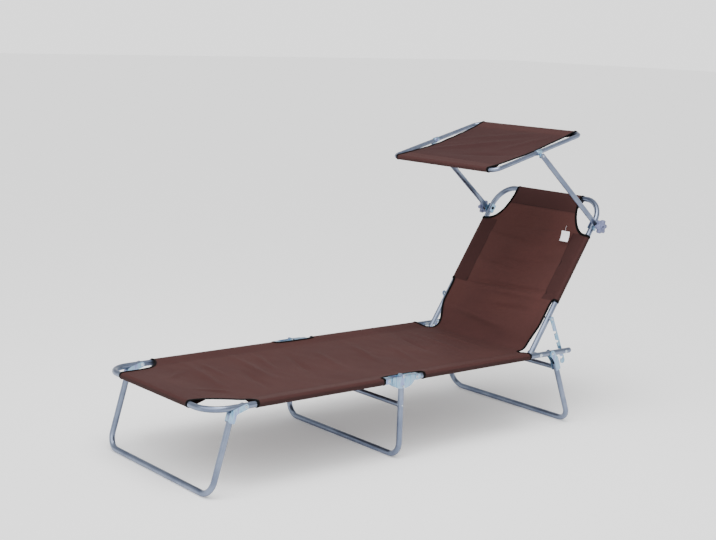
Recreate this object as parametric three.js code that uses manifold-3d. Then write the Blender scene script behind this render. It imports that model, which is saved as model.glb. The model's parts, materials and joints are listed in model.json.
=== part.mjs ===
// Folding sun lounger with a tilting canopy, in millimetres, +Z up.
// The foot end points to -X, the head end to +X, and the sitter's left is -Y.
// Heights are from the floor, and x = 0 is the middle hinge until the last lines centre the part.

import * as THREE from 'three';
import { mergeVertices } from 'three/addons/utils/BufferGeometryUtils.js';
import Module from 'manifold-3d';

const wasm = await Module();
wasm.setup();

// Fits and fineness
const clearance = 0.3;
const overrun = 2;
const weldDistance = 0.0001;
const tubeSides = 12;
const legTubeSides = 16;
const pinSides = 10;
const bendSteps = 6;
const arcSteps = 5;

// Tubes and sheet
const tubeRadius = 9;
const crossbarRadius = 8;
const canopyTubeRadius = 7;
const sheetSteel = 1.5;

// Bed rails
const railSpacing = 562;
const railHeight = 250;
const footEndX = -682;
const footCornerRadius = 70;
const footRailEndX = -14;
const seatRailStartX = 10;
const seatRailTipReach = 148;

// Rivets and bolts
const rivetRadius = 3;
const rivetHeadRadius = 5;
const rivetHeadHeight = 1.6;
const headEdgeShare = 0.55;
const boltRadius = 3.5;
const boltHeadRadius = 5.5;
const boltCollarRadius = 6.5;

// Middle hinge
const hingeRise = 9.5;
const hingeEyeRadius = 6.5;
const hingeEyeWidth = 16;
const hingeLobeRadius = 6.5;
const plateLobeReach = 44;
const plateLobeDepth = 27;
const plateTabEndX = 59;
const plateRivetX = 53;
const plateRivetRise = 2;
const plateWebStartX = 12;
const plateStopStartX = -40;
const plateStopLength = 18;
const strapEndX = -46;
const strapRivetX = -56;
const strapDepth = 7;
const strapCornerRadius = 3;

// Front leg
const frontPivotInset = 116;
const frontLegAngle = 16.1;
const frontLegOffset = -35;
const frontLegTop = -24;
const frontElbowDrop = 22;
const frontBracketEnd = -62;

// Middle leg
const middlePivotDrop = 21;
const middleLegTop = 5;
const middleCrossbarHeight = 170;

// Rear leg
const rearPivotReach = 52;
const rearLegAngle = -20.9;
const rearLegOffset = 11.4;
const rearLegTop = -42;
const rearElbowDrop = 30;
const rearWebTop = -19.5;
const rearBracketEnd = -70;
const rearCrossbarDrop = 60;

// Leg tubes
const legCornerRadius = 45;
const bracketLobeRadius = 10;

// Back frame, measured along the back from its pivot
const backPivotX = 588;
const backAngle = 57;
const backTubeStart = -9;
const backLength = 572;
const backCornerRadius = 76;

// Recline strut and its pin
const strutPivotAlong = 129;
const strutAngle = -66.2;
const strutSideGap = 8.75;
const strutThickness = 2.5;
const strutWidth = 15;
const strutEyeRadius = 8.5;
const strutLength = 158;
const strutNotchDistances = [50.7, 84.7, 118, 147];
const strutNotchAngle = 28;
const strutHookRadius = 10;
const notchRadius = 3.9;
const notchDepthShare = 0.42;
const strutBoltRadius = 3;
const strutBoltHeadRadius = 4.5;
const strutBoltHeadHeight = 1.4;
const strutCollarRadius = 5;
const strutRailGap = 7.75;
const strutPinGap = 0.75;
const ratchetPinReach = 118;

// Canopy arms
const armPivotInset = 90;
const armAngle = 138.8;
const armLength = 366;
const armGap = 4.5;
const armThickness = 9;
const armWidth = 18;
const armEndThickness = 5;
const armFlatLength = 20;
const armSwellLength = 26;
const armRoundPower = 0.6;
const armClampLength = 30;
const armClampBossRadius = 7;
const armSpacerRadius = 10;
const armSpacerLength = 8;

// Star knob
const knobMeanRadius = 20.5;
const knobLobeHeight = 3.5;
const knobLobes = 6;
const knobPointsPerLobe = 8;
const knobThickness = 14;
const knobEdge = 2;
const knobHubRadius = 9;
const knobHubRise = 3;
const knobBoltDepth = 11;

// Canopy frame, measured from the arm's upper pivot
const canopyAngle = 15;
const canopyFrontReach = 196;
const canopyRearReach = 204;
const canopyCornerRadius = 26;
const canopyClampWall = 1.2;
const canopyClampLength = 20;
const canopyEarRadius = 7;
const canopyEarThickness = 2.3;
const canopyBoltRadius = 2.5;
const canopyBoltHeadRadius = 4.2;

// Cloth
const clothThickness = 1;
const sleeveGap = 0.4;
const sleeveWall = 1.2;
const acrossSteps = 6;
const cornerCutSteps = 5;
const footSleeveInset = 95;
const footSideSleeveInset = 155;
const hingeCutStartX = -68;
const hingeCutEndX = 82;
const hingeClothInset = 19;
const seatSleeveEndInset = 44;
const backSleeveStart = 189;
const backSleeveEndInset = 132;
const backTopSleeveInset = 92;
const creaseInset = 35;
const creaseBackInset = 8;
const creaseBendRadius = 32;
const canopySleeveInset = 27;
const canopyWaistInset = 39;
const bedSag = 6;
const canopySag = 5;

// Worked-out places
const railY = railSpacing / 2;
const railOuter = railY + tubeRadius;
const railInner = railY - tubeRadius;
const backY = railInner - strutRailGap - strutThickness - strutSideGap - tubeRadius;
const canopyY = backY;
const flangeOuter = railOuter + clearance + sheetSteel;
const flangeInner = railInner - clearance - sheetSteel;
const backOuter = backY + tubeRadius;
const backInner = backY - tubeRadius;
const frontPivotX = footEndX + frontPivotInset;
const rearPivotX = backPivotX + rearPivotReach;
const ratchetPinX = backPivotX + ratchetPinReach;
const seatRailTipX = backPivotX + seatRailTipReach;
const armPivotAlong = backLength - armPivotInset;
const hingeZ = railHeight + hingeRise;
const plateTop = railHeight + tubeRadius + clearance + sheetSteel;
const middlePivotZ = railHeight - middlePivotDrop;
const strutInner = backOuter + strutSideGap;
const strutOuter = strutInner + strutThickness;
const armInner = backOuter + armGap;
const armMiddle = armInner + armThickness / 2;
const canopyDrop = canopyTubeRadius + clearance + canopyClampWall + canopyBoltRadius + clearance;
const clothRise = tubeRadius + sleeveGap + sleeveWall / 2;
const canopyClothRise = canopyTubeRadius + sleeveGap + sleeveWall / 2;
const footSleeveReach = railY - footSleeveInset;
const footSideSleeveStartX = footEndX + footSideSleeveInset;
const hingeClothReach = railY - hingeClothInset;
const seatSleeveEndX = backPivotX - seatSleeveEndInset;
const backSleeveEnd = backLength - backSleeveEndInset;
const backTopSleeveReach = backY - backTopSleeveInset;
const creaseReach = backY - creaseInset;
const creaseBackReach = backY - creaseBackInset;
const canopySleeveReach = canopyY - canopySleeveInset;
const canopyWaistReach = canopyY - canopyWaistInset;

// Finishes
function finish(color, roughness, metalness) {
  return () => new THREE.MeshStandardMaterial({ color, roughness, metalness });
}

const silverPaint = finish(0x9aa3b5, 0.38, 0.55);
const zincPlate = finish(0xc3d4e0, 0.32, 0.9);
const steelRivet = finish(0xc9ced6, 0.3, 0.9);
const greyPlastic = finish(0x8f97ae, 0.55, 0);
const blackPlastic = finish(0x1c1c20, 0.6, 0);
const brownCloth = finish(0x6b4a45, 0.85, 0);

// Solids and geometries
function radians(angle) {
  return THREE.MathUtils.degToRad(angle);
}

function welded(geometry) {
  const plain = geometry.clone();
  plain.deleteAttribute('normal');
  plain.deleteAttribute('uv');
  plain.clearGroups();
  const merged = mergeVertices(plain, weldDistance);
  const corners = Array.from(merged.index.array);
  const kept = [];
  for (let i = 0; i < corners.length; i += 3) {
    const [a, b, c] = corners.slice(i, i + 3);
    if (a !== b && b !== c && c !== a) kept.push(a, b, c);
  }
  merged.setIndex(kept);
  return merged;
}

function solidOf(geometry) {
  const mesh = welded(geometry);
  return new wasm.Manifold(new wasm.Mesh({
    numProp: 3,
    vertProperties: Float32Array.from(mesh.attributes.position.array),
    triVerts: Uint32Array.from(mesh.index.array),
  }));
}

function geometryOf(solid) {
  const mesh = solid.getMesh();
  const geometry = new THREE.BufferGeometry();
  geometry.setAttribute('position', new THREE.BufferAttribute(mesh.vertProperties, 3));
  geometry.setIndex(new THREE.BufferAttribute(mesh.triVerts, 1));
  geometry.computeVertexNormals();
  return geometry;
}

function join(...pieces) {
  return geometryOf(pieces.map(solidOf).reduce((sum, piece) => sum.add(piece)));
}

function cut(piece, ...tools) {
  return geometryOf(tools.map(solidOf).reduce((rest, tool) => rest.subtract(tool), solidOf(piece)));
}

// A block between two corners
function block(low, high) {
  const size = high.map((value, axis) => value - low[axis]);
  const geometry = new THREE.BoxGeometry(...size);
  return geometry.translate(...low.map((value, axis) => value + size[axis] / 2));
}

// A flat piece drawn in x and z, standing between two distances out from the centre line
function plate(shape, inner, outer) {
  const options = { depth: outer - inner, bevelEnabled: false, curveSegments: arcSteps };
  const geometry = new THREE.ExtrudeGeometry(shape, options);
  geometry.translate(0, 0, inner);
  return geometry.rotateX(Math.PI / 2);
}

// The outline round two circles and their common tangents
function linkShape(startX, startZ, startRadius, endX, endZ, endRadius) {
  const heading = Math.atan2(endZ - startZ, endX - startX);
  const spread = Math.acos((startRadius - endRadius) / Math.hypot(endX - startX, endZ - startZ));
  const shape = new THREE.Shape();
  shape.absarc(startX, startZ, startRadius, heading + spread, heading - spread + 2 * Math.PI, false);
  shape.absarc(endX, endZ, endRadius, heading - spread, heading + spread, false);
  shape.closePath();
  return shape;
}

function discShape(x, z, radius) {
  const shape = new THREE.Shape();
  shape.absarc(x, z, radius, 0, Math.PI, false);
  shape.absarc(x, z, radius, Math.PI, 2 * Math.PI, false);
  return shape;
}

// A turned piece whose profile lists a radius and a distance out from the centre line
function turned(profile) {
  const points = profile.map(([radius, out]) => new THREE.Vector2(radius, out));
  return new THREE.LatheGeometry(points, pinSides).rotateX(Math.PI);
}

// A rivet or bolt with a flat head inside and a domed head outside
function pinGeometry(inner, outer, radius, headRadius, headHeight, collar = []) {
  const edge = headRadius * headEdgeShare;
  const shoulder = headHeight * headEdgeShare;
  return turned([
    [0, inner - headHeight],
    [headRadius, inner - headHeight],
    [headRadius, inner],
    [radius, inner],
    ...collar,
    [radius, outer],
    [headRadius, outer],
    [headRadius, outer + headHeight - shoulder],
    [edge, outer + headHeight],
    [0, outer + headHeight],
  ]);
}

// Holes straight across the whole width
function drill(geometry, radius, ...places) {
  const tools = places.map(([x, z]) => {
    const bit = new THREE.CylinderGeometry(radius, radius, 2 * railSpacing, pinSides);
    return bit.translate(x, 0, z);
  });
  return cut(geometry, ...tools);
}

// A polygon whose flats lie at the given radius
function roundOutline(Outline, radius, sides, roll = 0) {
  const outline = new Outline();
  const cornerRadius = radius / Math.cos(Math.PI / sides);
  for (let i = 0; i < sides; i += 1) {
    const angle = roll + (2 * Math.PI * (i + 1 / 2)) / sides;
    const place = [cornerRadius * Math.cos(angle), cornerRadius * Math.sin(angle)];
    if (i === 0) outline.moveTo(...place);
    else outline.lineTo(...place);
  }
  outline.closePath();
  return outline;
}

// A centre line of straight runs and round bends, lying in one plane
class BentLine extends THREE.Curve {
  constructor(stations, planeNormal) {
    super();
    this.stations = stations;
    this.planeNormal = planeNormal;
  }

  getPoint(share) {
    return this.stations[Math.round(share * (this.stations.length - 1))].place.clone();
  }

  getPointAt(share) {
    return this.getPoint(share);
  }

  computeFrenetFrames() {
    const tangents = this.stations.map((station) => station.heading.clone());
    const normals = tangents.map(() => this.planeNormal.clone());
    const binormals = tangents.map((tangent) => tangent.clone().cross(this.planeNormal));
    return { tangents, normals, binormals };
  }
}

function bendStations(before, corner, after, radius, steps) {
  const entering = corner.clone().sub(before).normalize();
  const leaving = after.clone().sub(corner).normalize();
  const turn = entering.angleTo(leaving);
  const inward = leaving.clone().addScaledVector(entering, -Math.cos(turn)).normalize();
  const start = corner.clone().addScaledVector(entering, -radius * Math.tan(turn / 2));
  const stations = [];
  for (let i = 0; i <= steps; i += 1) {
    const angle = (turn * i) / steps;
    const place = start.clone().addScaledVector(entering, radius * Math.sin(angle));
    place.addScaledVector(inward, radius * (1 - Math.cos(angle)));
    const heading = entering.clone().multiplyScalar(Math.cos(angle));
    heading.addScaledVector(inward, Math.sin(angle));
    stations.push({ place, heading });
  }
  return stations;
}

function openStations(corners, radius, steps = bendSteps) {
  const last = corners.length - 1;
  const stations = [{ place: corners[0], heading: corners[1].clone().sub(corners[0]).normalize() }];
  for (let i = 1; i < last; i += 1) {
    stations.push(...bendStations(corners[i - 1], corners[i], corners[i + 1], radius, steps));
  }
  stations.push({ place: corners[last], heading: corners[last].clone().sub(corners[last - 1]).normalize() });
  return stations;
}

function closedStations(corners, radius) {
  const count = corners.length;
  const bends = corners.map((corner, i) => {
    const before = corners[(i + count - 1) % count];
    return bendStations(before, corner, corners[(i + 1) % count], radius, bendSteps);
  });
  const stations = bends.flat();
  return [...stations, stations[0]];
}

function tubeGeometry(stations, planeNormal, radius, sides = tubeSides, roll = 0) {
  const section = roundOutline(THREE.Shape, radius, sides, roll);
  const options = { steps: stations.length - 1, extrudePath: new BentLine(stations, planeNormal) };
  return new THREE.ExtrudeGeometry(section, options);
}

// A closed loop has no ends, so only the tube's walls are kept
function loopGeometry(stations, planeNormal, radius) {
  const whole = tubeGeometry(stations, planeNormal, radius);
  const walls = whole.groups.find((group) => group.materialIndex === 1);
  const place = whole.attributes.position.array.slice(3 * walls.start, 3 * (walls.start + walls.count));
  const geometry = new THREE.BufferGeometry();
  geometry.setAttribute('position', new THREE.BufferAttribute(place, 3));
  geometry.computeVertexNormals();
  return geometry;
}

// A straight sleeve of cloth or sheet round a tube, along X or across
function sleeveGeometry(inner, outer, start, end, across) {
  const ring = roundOutline(THREE.Shape, outer, tubeSides);
  ring.holes.push(roundOutline(THREE.Path, inner, tubeSides));
  const geometry = new THREE.ExtrudeGeometry(ring, { depth: end - start, bevelEnabled: false });
  geometry.translate(0, 0, start);
  return across ? geometry.rotateX(-Math.PI / 2) : geometry.rotateY(Math.PI / 2);
}

// A cloth panel: each station has a place, a heading, a half width and a sag at mid width
function clothPanel(stations) {
  const lengthSteps = stations.length - 1;
  const geometry = new THREE.BoxGeometry(1, 1, 1, lengthSteps, acrossSteps, 1);
  const place = geometry.attributes.position;
  for (let i = 0; i < place.count; i += 1) {
    const station = stations[Math.round((place.getX(i) + 1 / 2) * lengthSteps)];
    const share = 2 * place.getY(i);
    const rise = place.getZ(i) * clothThickness - station.sag * (1 - share * share);
    const x = station.place.x - station.heading.z * rise;
    const z = station.place.z + station.heading.x * rise;
    place.setXYZ(i, x, share * station.half, z);
  }
  return geometry;
}

function flatStation(x, z, half, sag) {
  return { place: new THREE.Vector3(x, 0, z), heading: new THREE.Vector3(1, 0, 0), half, sag };
}

// Adding pieces to the assembly
function addPiece(parent, name, geometry, material) {
  const mesh = new THREE.Mesh(geometry, material());
  mesh.name = name;
  parent.add(mesh);
  return mesh;
}

function addPair(parent, name, geometry, material) {
  addPiece(parent, `${name}_left`, geometry, material);
  addPiece(parent, `${name}_right`, geometry, material).scale.y = -1;
}

function addGroup(parent, x, z, angle = 0) {
  const group = new THREE.Group();
  group.position.set(x, 0, z);
  group.rotation.y = -radians(angle);
  parent.add(group);
  return group;
}

function twinFlanges(shape) {
  const inner = plate(shape, flangeInner, flangeInner + sheetSteel);
  return join(inner, plate(shape, flangeOuter - sheetSteel, flangeOuter));
}

function flangePin(radius) {
  const inner = flangeInner - clearance;
  return pinGeometry(inner, flangeOuter + clearance, radius, rivetHeadRadius, rivetHeadHeight);
}

// Bed frame: the foot tube is one bent U, the seat rails are two straight tubes with domed tips
function footTubeGeometry() {
  const corners = [
    new THREE.Vector3(footRailEndX, -railY, railHeight),
    new THREE.Vector3(footEndX, -railY, railHeight),
    new THREE.Vector3(footEndX, railY, railHeight),
    new THREE.Vector3(footRailEndX, railY, railHeight),
  ];
  const stations = openStations(corners, footCornerRadius);
  const tube = tubeGeometry(stations, new THREE.Vector3(0, 0, 1), tubeRadius);
  const bore = rivetRadius + clearance;
  const strapRivetZ = railHeight + plateRivetRise;
  return drill(tube, bore, [frontPivotX, railHeight], [strapRivetX, strapRivetZ]);
}

function seatRailGeometry() {
  const cornerRadius = tubeRadius / Math.cos(Math.PI / tubeSides);
  const profile = [new THREE.Vector2(0, seatRailStartX), new THREE.Vector2(cornerRadius, seatRailStartX)];
  for (let i = 0; i <= bendSteps; i += 1) {
    const angle = (Math.PI * i) / (2 * bendSteps);
    const reach = seatRailTipX - tubeRadius + tubeRadius * Math.sin(angle);
    profile.push(new THREE.Vector2(i === bendSteps ? 0 : cornerRadius * Math.cos(angle), reach));
  }
  const rail = new THREE.LatheGeometry(profile, tubeSides, Math.PI / tubeSides);
  rail.rotateZ(-Math.PI / 2);
  rail.translate(0, -railY, railHeight);
  const riveted = drill(
    rail,
    rivetRadius + clearance,
    [plateRivetX, railHeight + plateRivetRise],
    [rearPivotX, railHeight],
  );
  return drill(riveted, boltRadius + clearance, [backPivotX, railHeight], [ratchetPinX, railHeight]);
}

// Middle hinge: a D-shaped channel on the seat rail, and a saddle and an eye on the foot rail
function hingePlateGeometry() {
  const lobe = new THREE.Shape();
  lobe.moveTo(plateLobeReach, plateTop);
  lobe.lineTo(-plateLobeReach, plateTop);
  lobe.lineTo(-plateLobeReach, railHeight);
  lobe.absellipse(0, railHeight, plateLobeReach, plateLobeDepth, Math.PI, 2 * Math.PI, false);
  lobe.closePath();
  const rivetZ = railHeight + plateRivetRise;
  const tabRadius = plateTop - rivetZ;
  const tab = linkShape(0, rivetZ, tabRadius, plateTabEndX, rivetZ, tabRadius);
  const ear = linkShape(0, hingeZ, hingeLobeRadius, 0, railHeight, hingeLobeRadius);
  const web = block(
    [plateWebStartX, -flangeOuter, plateTop - sheetSteel],
    [plateTabEndX, -flangeInner, plateTop],
  );
  const stopTop = railHeight - tubeRadius - clearance;
  const stop = block(
    [plateStopStartX, -flangeOuter, stopTop - sheetSteel],
    [plateStopStartX + plateStopLength, -flangeInner, stopTop],
  );
  const whole = join(twinFlanges(lobe), twinFlanges(tab), twinFlanges(ear), web, stop);
  return drill(whole, rivetRadius + clearance, [0, hingeZ], [0, middlePivotZ], [plateRivetX, rivetZ]);
}

function hingeEyeGeometry() {
  const inner = railY - hingeEyeWidth / 2;
  const root = footRailEndX + clearance;
  const neck = new THREE.Shape();
  neck.moveTo(root, railHeight - tubeRadius + clearance);
  neck.lineTo(root + hingeEyeRadius, railHeight - tubeRadius + clearance);
  neck.lineTo(hingeEyeRadius * Math.SQRT1_2, hingeZ - hingeEyeRadius * Math.SQRT1_2);
  neck.lineTo(0, hingeZ);
  neck.lineTo(root, hingeZ - clearance);
  neck.closePath();
  const eye = plate(discShape(0, hingeZ, hingeEyeRadius), inner, inner + hingeEyeWidth);
  const whole = join(plate(neck, inner, inner + hingeEyeWidth), eye);
  return drill(whole, rivetRadius + clearance, [0, hingeZ]);
}

function hingeStrapGeometry() {
  const startX = hingeCutStartX + clearance;
  const low = railHeight - strapDepth;
  const side = new THREE.Shape();
  side.moveTo(startX, plateTop);
  const cornerZ = low + strapCornerRadius;
  side.absarc(startX + strapCornerRadius, cornerZ, strapCornerRadius, Math.PI, (3 * Math.PI) / 2);
  side.absarc(strapEndX - strapCornerRadius, cornerZ, strapCornerRadius, -Math.PI / 2, 0);
  side.lineTo(strapEndX, plateTop);
  side.closePath();
  const web = block([startX, -flangeOuter, plateTop - sheetSteel], [strapEndX, -flangeInner, plateTop]);
  const rivetZ = railHeight + plateRivetRise;
  return drill(join(twinFlanges(side), web), rivetRadius + clearance, [strapRivetX, rivetZ]);
}

// Legs: each tube is a bent U whose foot bar lies flat on the floor
function legLength(pivotHeight, lean, offset) {
  const angle = radians(lean);
  return (pivotHeight - tubeRadius - offset * Math.sin(angle)) / Math.cos(angle);
}

function legTubeGeometry(pivotHeight, lean, offset, top) {
  const foot = -legLength(pivotHeight, lean, offset);
  const corners = [
    new THREE.Vector3(offset, -railY, top),
    new THREE.Vector3(offset, -railY, foot),
    new THREE.Vector3(offset, railY, foot),
    new THREE.Vector3(offset, railY, top),
  ];
  const stations = openStations(corners, legCornerRadius);
  return tubeGeometry(stations, new THREE.Vector3(1, 0, 0), tubeRadius, legTubeSides, -radians(lean));
}

function legBracketGeometry(offset, elbowDrop, webTop, end) {
  const wall = tubeRadius + clearance + sheetSteel;
  const side = Math.sign(offset);
  const arm = linkShape(0, 0, bracketLobeRadius, offset, -elbowDrop, wall);
  const sleeve = linkShape(offset, -elbowDrop, wall, offset, end + wall, wall);
  const faces = [offset + side * wall, offset + side * (wall - sheetSteel)].sort((a, b) => a - b);
  const web = block([faces[0], -flangeOuter, end + wall], [faces[1], -flangeInner, webTop]);
  const whole = join(twinFlanges(arm), twinFlanges(sleeve), web);
  return drill(whole, rivetRadius + clearance, [0, 0]);
}

function middleLegGeometry() {
  const tube = legTubeGeometry(middlePivotZ, 0, 0, middleLegTop);
  return drill(tube, rivetRadius + clearance, [0, 0]);
}

// A crossbar whose ends are coped round the leg tubes
function middleCrossbarGeometry() {
  const drop = middleCrossbarHeight - middlePivotZ;
  const bar = new THREE.CylinderGeometry(crossbarRadius, crossbarRadius, railSpacing, tubeSides);
  const legs = [-railY, railY].map((y) => {
    const height = 2 * crossbarRadius + 2 * overrun;
    const radius = (tubeRadius + clearance) / Math.cos(Math.PI / tubeSides);
    const leg = new THREE.CylinderGeometry(radius, radius, height, tubeSides);
    return leg.rotateX(Math.PI / 2).translate(0, y, 0);
  });
  return cut(bar, ...legs).translate(0, 0, drop);
}

function rearCrossbarGeometry() {
  const length = 2 * (flangeInner - clearance);
  const bar = new THREE.CylinderGeometry(crossbarRadius, crossbarRadius, length, tubeSides);
  return bar.translate(rearLegOffset, 0, -rearCrossbarDrop);
}

// Back frame: one bent U, drilled for its pivots, drawn lying along x
function backTubeGeometry() {
  const corners = [
    new THREE.Vector3(backTubeStart, -backY, 0),
    new THREE.Vector3(backLength, -backY, 0),
    new THREE.Vector3(backLength, backY, 0),
    new THREE.Vector3(backTubeStart, backY, 0),
  ];
  const stations = openStations(corners, backCornerRadius);
  const tube = tubeGeometry(stations, new THREE.Vector3(0, 0, -1), tubeRadius);
  const bolted = drill(tube, boltRadius + clearance, [0, 0]);
  return drill(bolted, strutBoltRadius + clearance, [strutPivotAlong, 0], [armPivotAlong, 0]);
}

function backPivotGeometry() {
  const collar = [
    [boltRadius, backOuter + clearance],
    [boltCollarRadius, backOuter + clearance],
    [boltCollarRadius, railInner - clearance],
    [boltRadius, railInner - clearance],
  ];
  const inner = backInner - clearance;
  return pinGeometry(inner, railOuter + clearance, boltRadius, boltHeadRadius, rivetHeadHeight, collar);
}

function ratchetPinGeometry() {
  const head = railOuter + clearance;
  const edge = boltHeadRadius * headEdgeShare;
  return turned([
    [0, strutOuter + strutPinGap],
    [boltRadius, strutOuter + strutPinGap],
    [boltRadius, head],
    [boltHeadRadius, head],
    [boltHeadRadius, head + rivetHeadHeight * headEdgeShare],
    [edge, head + rivetHeadHeight],
    [0, head + rivetHeadHeight],
  ]);
}

// Recline strut: a flat bar with leaning notches that drop over the ratchet pin
function strutGeometry() {
  const half = strutWidth / 2;
  const bar = linkShape(0, 0, strutEyeRadius, strutEyeRadius, 0, half);
  const blade = linkShape(0, 0, half, strutLength, 0, half);
  const hook = linkShape(strutLength - half, 0, half, strutLength, half - strutHookRadius, strutHookRadius);
  const body = join(...[bar, blade, hook].map((shape) => plate(shape, strutInner, strutOuter)));
  const notches = strutNotchDistances.map((distance) => {
    const lean = radians(strutNotchAngle);
    const rootZ = half * notchDepthShare - notchRadius;
    const mouthX = distance - strutWidth * Math.sin(lean);
    const mouthZ = -strutWidth * Math.cos(lean);
    const slot = linkShape(distance, rootZ, notchRadius, mouthX, mouthZ, notchRadius);
    return plate(slot, strutInner - overrun, strutOuter + overrun);
  });
  return drill(cut(body, ...notches), strutBoltRadius + clearance, [0, 0]);
}

function strutBoltGeometry() {
  const collar = [
    [strutBoltRadius, backOuter + clearance],
    [strutCollarRadius, backOuter + clearance],
    [strutCollarRadius, strutInner - clearance],
    [strutBoltRadius, strutInner - clearance],
  ];
  const inner = backInner - clearance;
  const outer = strutOuter + clearance;
  return pinGeometry(inner, outer, strutBoltRadius, strutBoltHeadRadius, strutBoltHeadHeight, collar);
}

// Canopy arms: tubes pressed flat-oval, thinner at the drilled ends
function armGeometry() {
  const half = armWidth / 2;
  const ends = [];
  for (let i = 1; i <= arcSteps; i += 1) {
    const angle = (Math.PI * i) / (2 * arcSteps);
    ends.push([-half * Math.cos(angle), half * Math.sin(angle), armEndThickness / 2]);
  }
  ends.push([armFlatLength, half, armEndThickness / 2]);
  ends.push([armFlatLength + armSwellLength / 2, half, (armEndThickness + armThickness) / 4]);
  ends.push([armFlatLength + armSwellLength, half, armThickness / 2]);
  const mirrored = ends.map(([along, wide, thick]) => [armLength - along, wide, thick]).reverse();
  const sections = [...ends, ...mirrored];
  const steps = sections.length - 1;
  const geometry = new THREE.CylinderGeometry(1, 1, 1, tubeSides, steps);
  const place = geometry.attributes.position;
  for (let i = 0; i < place.count; i += 1) {
    const [along, wide, thick] = sections[Math.round((1 / 2 - place.getY(i)) * steps)];
    const side = place.getX(i);
    const flattened = Math.sign(side) * Math.abs(side) ** armRoundPower;
    place.setXYZ(i, along, thick * flattened - armMiddle, wide * place.getZ(i));
  }
  const clamped = drill(geometry, strutBoltRadius + clearance, [0, 0]);
  return drill(clamped, canopyBoltRadius + clearance, [armLength, 0]);
}

function armClampGeometry() {
  const wall = tubeRadius + clearance + sheetSteel;
  const half = armClampLength / 2;
  const inner = backInner - clearance - sheetSteel;
  const outer = backOuter + clearance + sheetSteel;
  const saddle = block([-half, -outer, -wall], [half, -inner, tubeRadius]);
  const channel = block(
    [-half - overrun, -outer + sheetSteel, sheetSteel - wall],
    [half + overrun, -inner - sheetSteel, tubeRadius + overrun],
  );
  const seat = armMiddle - armEndThickness / 2 - clearance;
  const boss = plate(discShape(0, 0, armClampBossRadius), outer - sheetSteel, seat);
  const whole = join(cut(saddle, channel), boss);
  return drill(whole, strutBoltRadius + clearance, [0, 0]);
}

function knobSeat() {
  return armMiddle + armEndThickness / 2 + clearance + armSpacerLength + clearance;
}

function armSpacerGeometry() {
  const inner = armMiddle + armEndThickness / 2 + clearance;
  const spacer = plate(discShape(0, 0, armSpacerRadius), inner, inner + armSpacerLength);
  return drill(spacer, strutBoltRadius + clearance, [0, 0]);
}

function knobBoltGeometry() {
  const inner = backInner - clearance - sheetSteel - clearance;
  return turned([
    [0, inner - rivetHeadHeight],
    [boltHeadRadius, inner - rivetHeadHeight],
    [boltHeadRadius, inner],
    [strutBoltRadius, inner],
    [strutBoltRadius, knobSeat() + knobBoltDepth],
    [0, knobSeat() + knobBoltDepth],
  ]);
}

// Star knob: six round lobes, a raised hub and an open bore
function starKnobGeometry() {
  const count = knobLobes * knobPointsPerLobe;
  const rim = [];
  for (let i = 0; i < count; i += 1) {
    const angle = (2 * Math.PI * i) / count;
    const radius = knobMeanRadius - knobEdge + knobLobeHeight * Math.cos(knobLobes * angle);
    rim.push(new THREE.Vector2(radius * Math.cos(angle), radius * Math.sin(angle)));
  }
  const star = new THREE.ExtrudeGeometry(new THREE.Shape(rim), {
    depth: knobThickness - 2 * knobEdge,
    bevelThickness: knobEdge,
    bevelSize: knobEdge,
    bevelSegments: 1,
  });
  star.translate(0, 0, knobSeat() + knobEdge);
  star.rotateX(Math.PI / 2);
  const hubEnd = knobSeat() + knobThickness + knobHubRise;
  const hub = plate(discShape(0, 0, knobHubRadius), knobSeat() + knobEdge, hubEnd);
  return drill(join(star, hub), strutBoltRadius + clearance, [0, 0]);
}

// Canopy frame: one closed loop of thinner tube, held by a clamp on each side tube
function canopyTubeGeometry() {
  const corners = [
    new THREE.Vector3(-canopyFrontReach, -canopyY, canopyDrop),
    new THREE.Vector3(canopyRearReach, -canopyY, canopyDrop),
    new THREE.Vector3(canopyRearReach, canopyY, canopyDrop),
    new THREE.Vector3(-canopyFrontReach, canopyY, canopyDrop),
  ];
  const stations = closedStations(corners, canopyCornerRadius);
  return loopGeometry(stations, new THREE.Vector3(0, 0, -1), canopyTubeRadius);
}

function canopyClampGeometry() {
  const half = canopyClampLength / 2;
  const bore = canopyTubeRadius + clearance;
  const wall = bore + canopyClampWall;
  const ring = sleeveGeometry(bore, wall, -half, half, false).translate(0, -canopyY, canopyDrop);
  const earInner = canopyY + bore;
  const ear = plate(
    linkShape(0, 0, canopyEarRadius, 0, canopyDrop, canopyEarRadius),
    earInner,
    earInner + canopyEarThickness,
  );
  const seat = armMiddle - armEndThickness / 2 - clearance;
  const boss = plate(discShape(0, 0, canopyEarRadius - canopyClampWall), earInner, seat);
  return drill(join(ring, ear, boss), canopyBoltRadius + clearance, [0, 0]);
}

function upperPivotGeometry() {
  const inner = canopyY + canopyTubeRadius;
  const outer = armMiddle + armEndThickness / 2 + clearance;
  return pinGeometry(inner, outer, canopyBoltRadius, canopyBoltHeadRadius, rivetHeadHeight);
}

// Cloth: panels between sleeves that run round the tubes
function railSleeve(start, end, y, z) {
  const inner = tubeRadius + sleeveGap;
  return sleeveGeometry(inner, inner + sleeveWall, start, end, false).translate(0, y, z);
}

function footClothGeometry() {
  const z = railHeight + clothRise;
  const stations = [];
  for (let i = 0; i <= cornerCutSteps; i += 1) {
    const angle = (Math.PI * i) / (2 * cornerCutSteps);
    const x = footEndX + (footSideSleeveStartX - footEndX) * Math.sin(angle);
    const half = railY - (railY - footSleeveReach) * Math.cos(angle);
    stations.push(flatStation(x, z, half, bedSag * Math.sin(angle)));
  }
  stations.push(flatStation(hingeCutStartX, z, railY, bedSag));
  const inner = tubeRadius + sleeveGap;
  const endSleeve = sleeveGeometry(inner, inner + sleeveWall, -footSleeveReach, footSleeveReach, true);
  const sides = [-railY, railY].map((y) => railSleeve(footSideSleeveStartX, hingeCutStartX, y, railHeight));
  return join(clothPanel(stations), endSleeve.translate(footEndX, 0, railHeight), ...sides);
}

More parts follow.
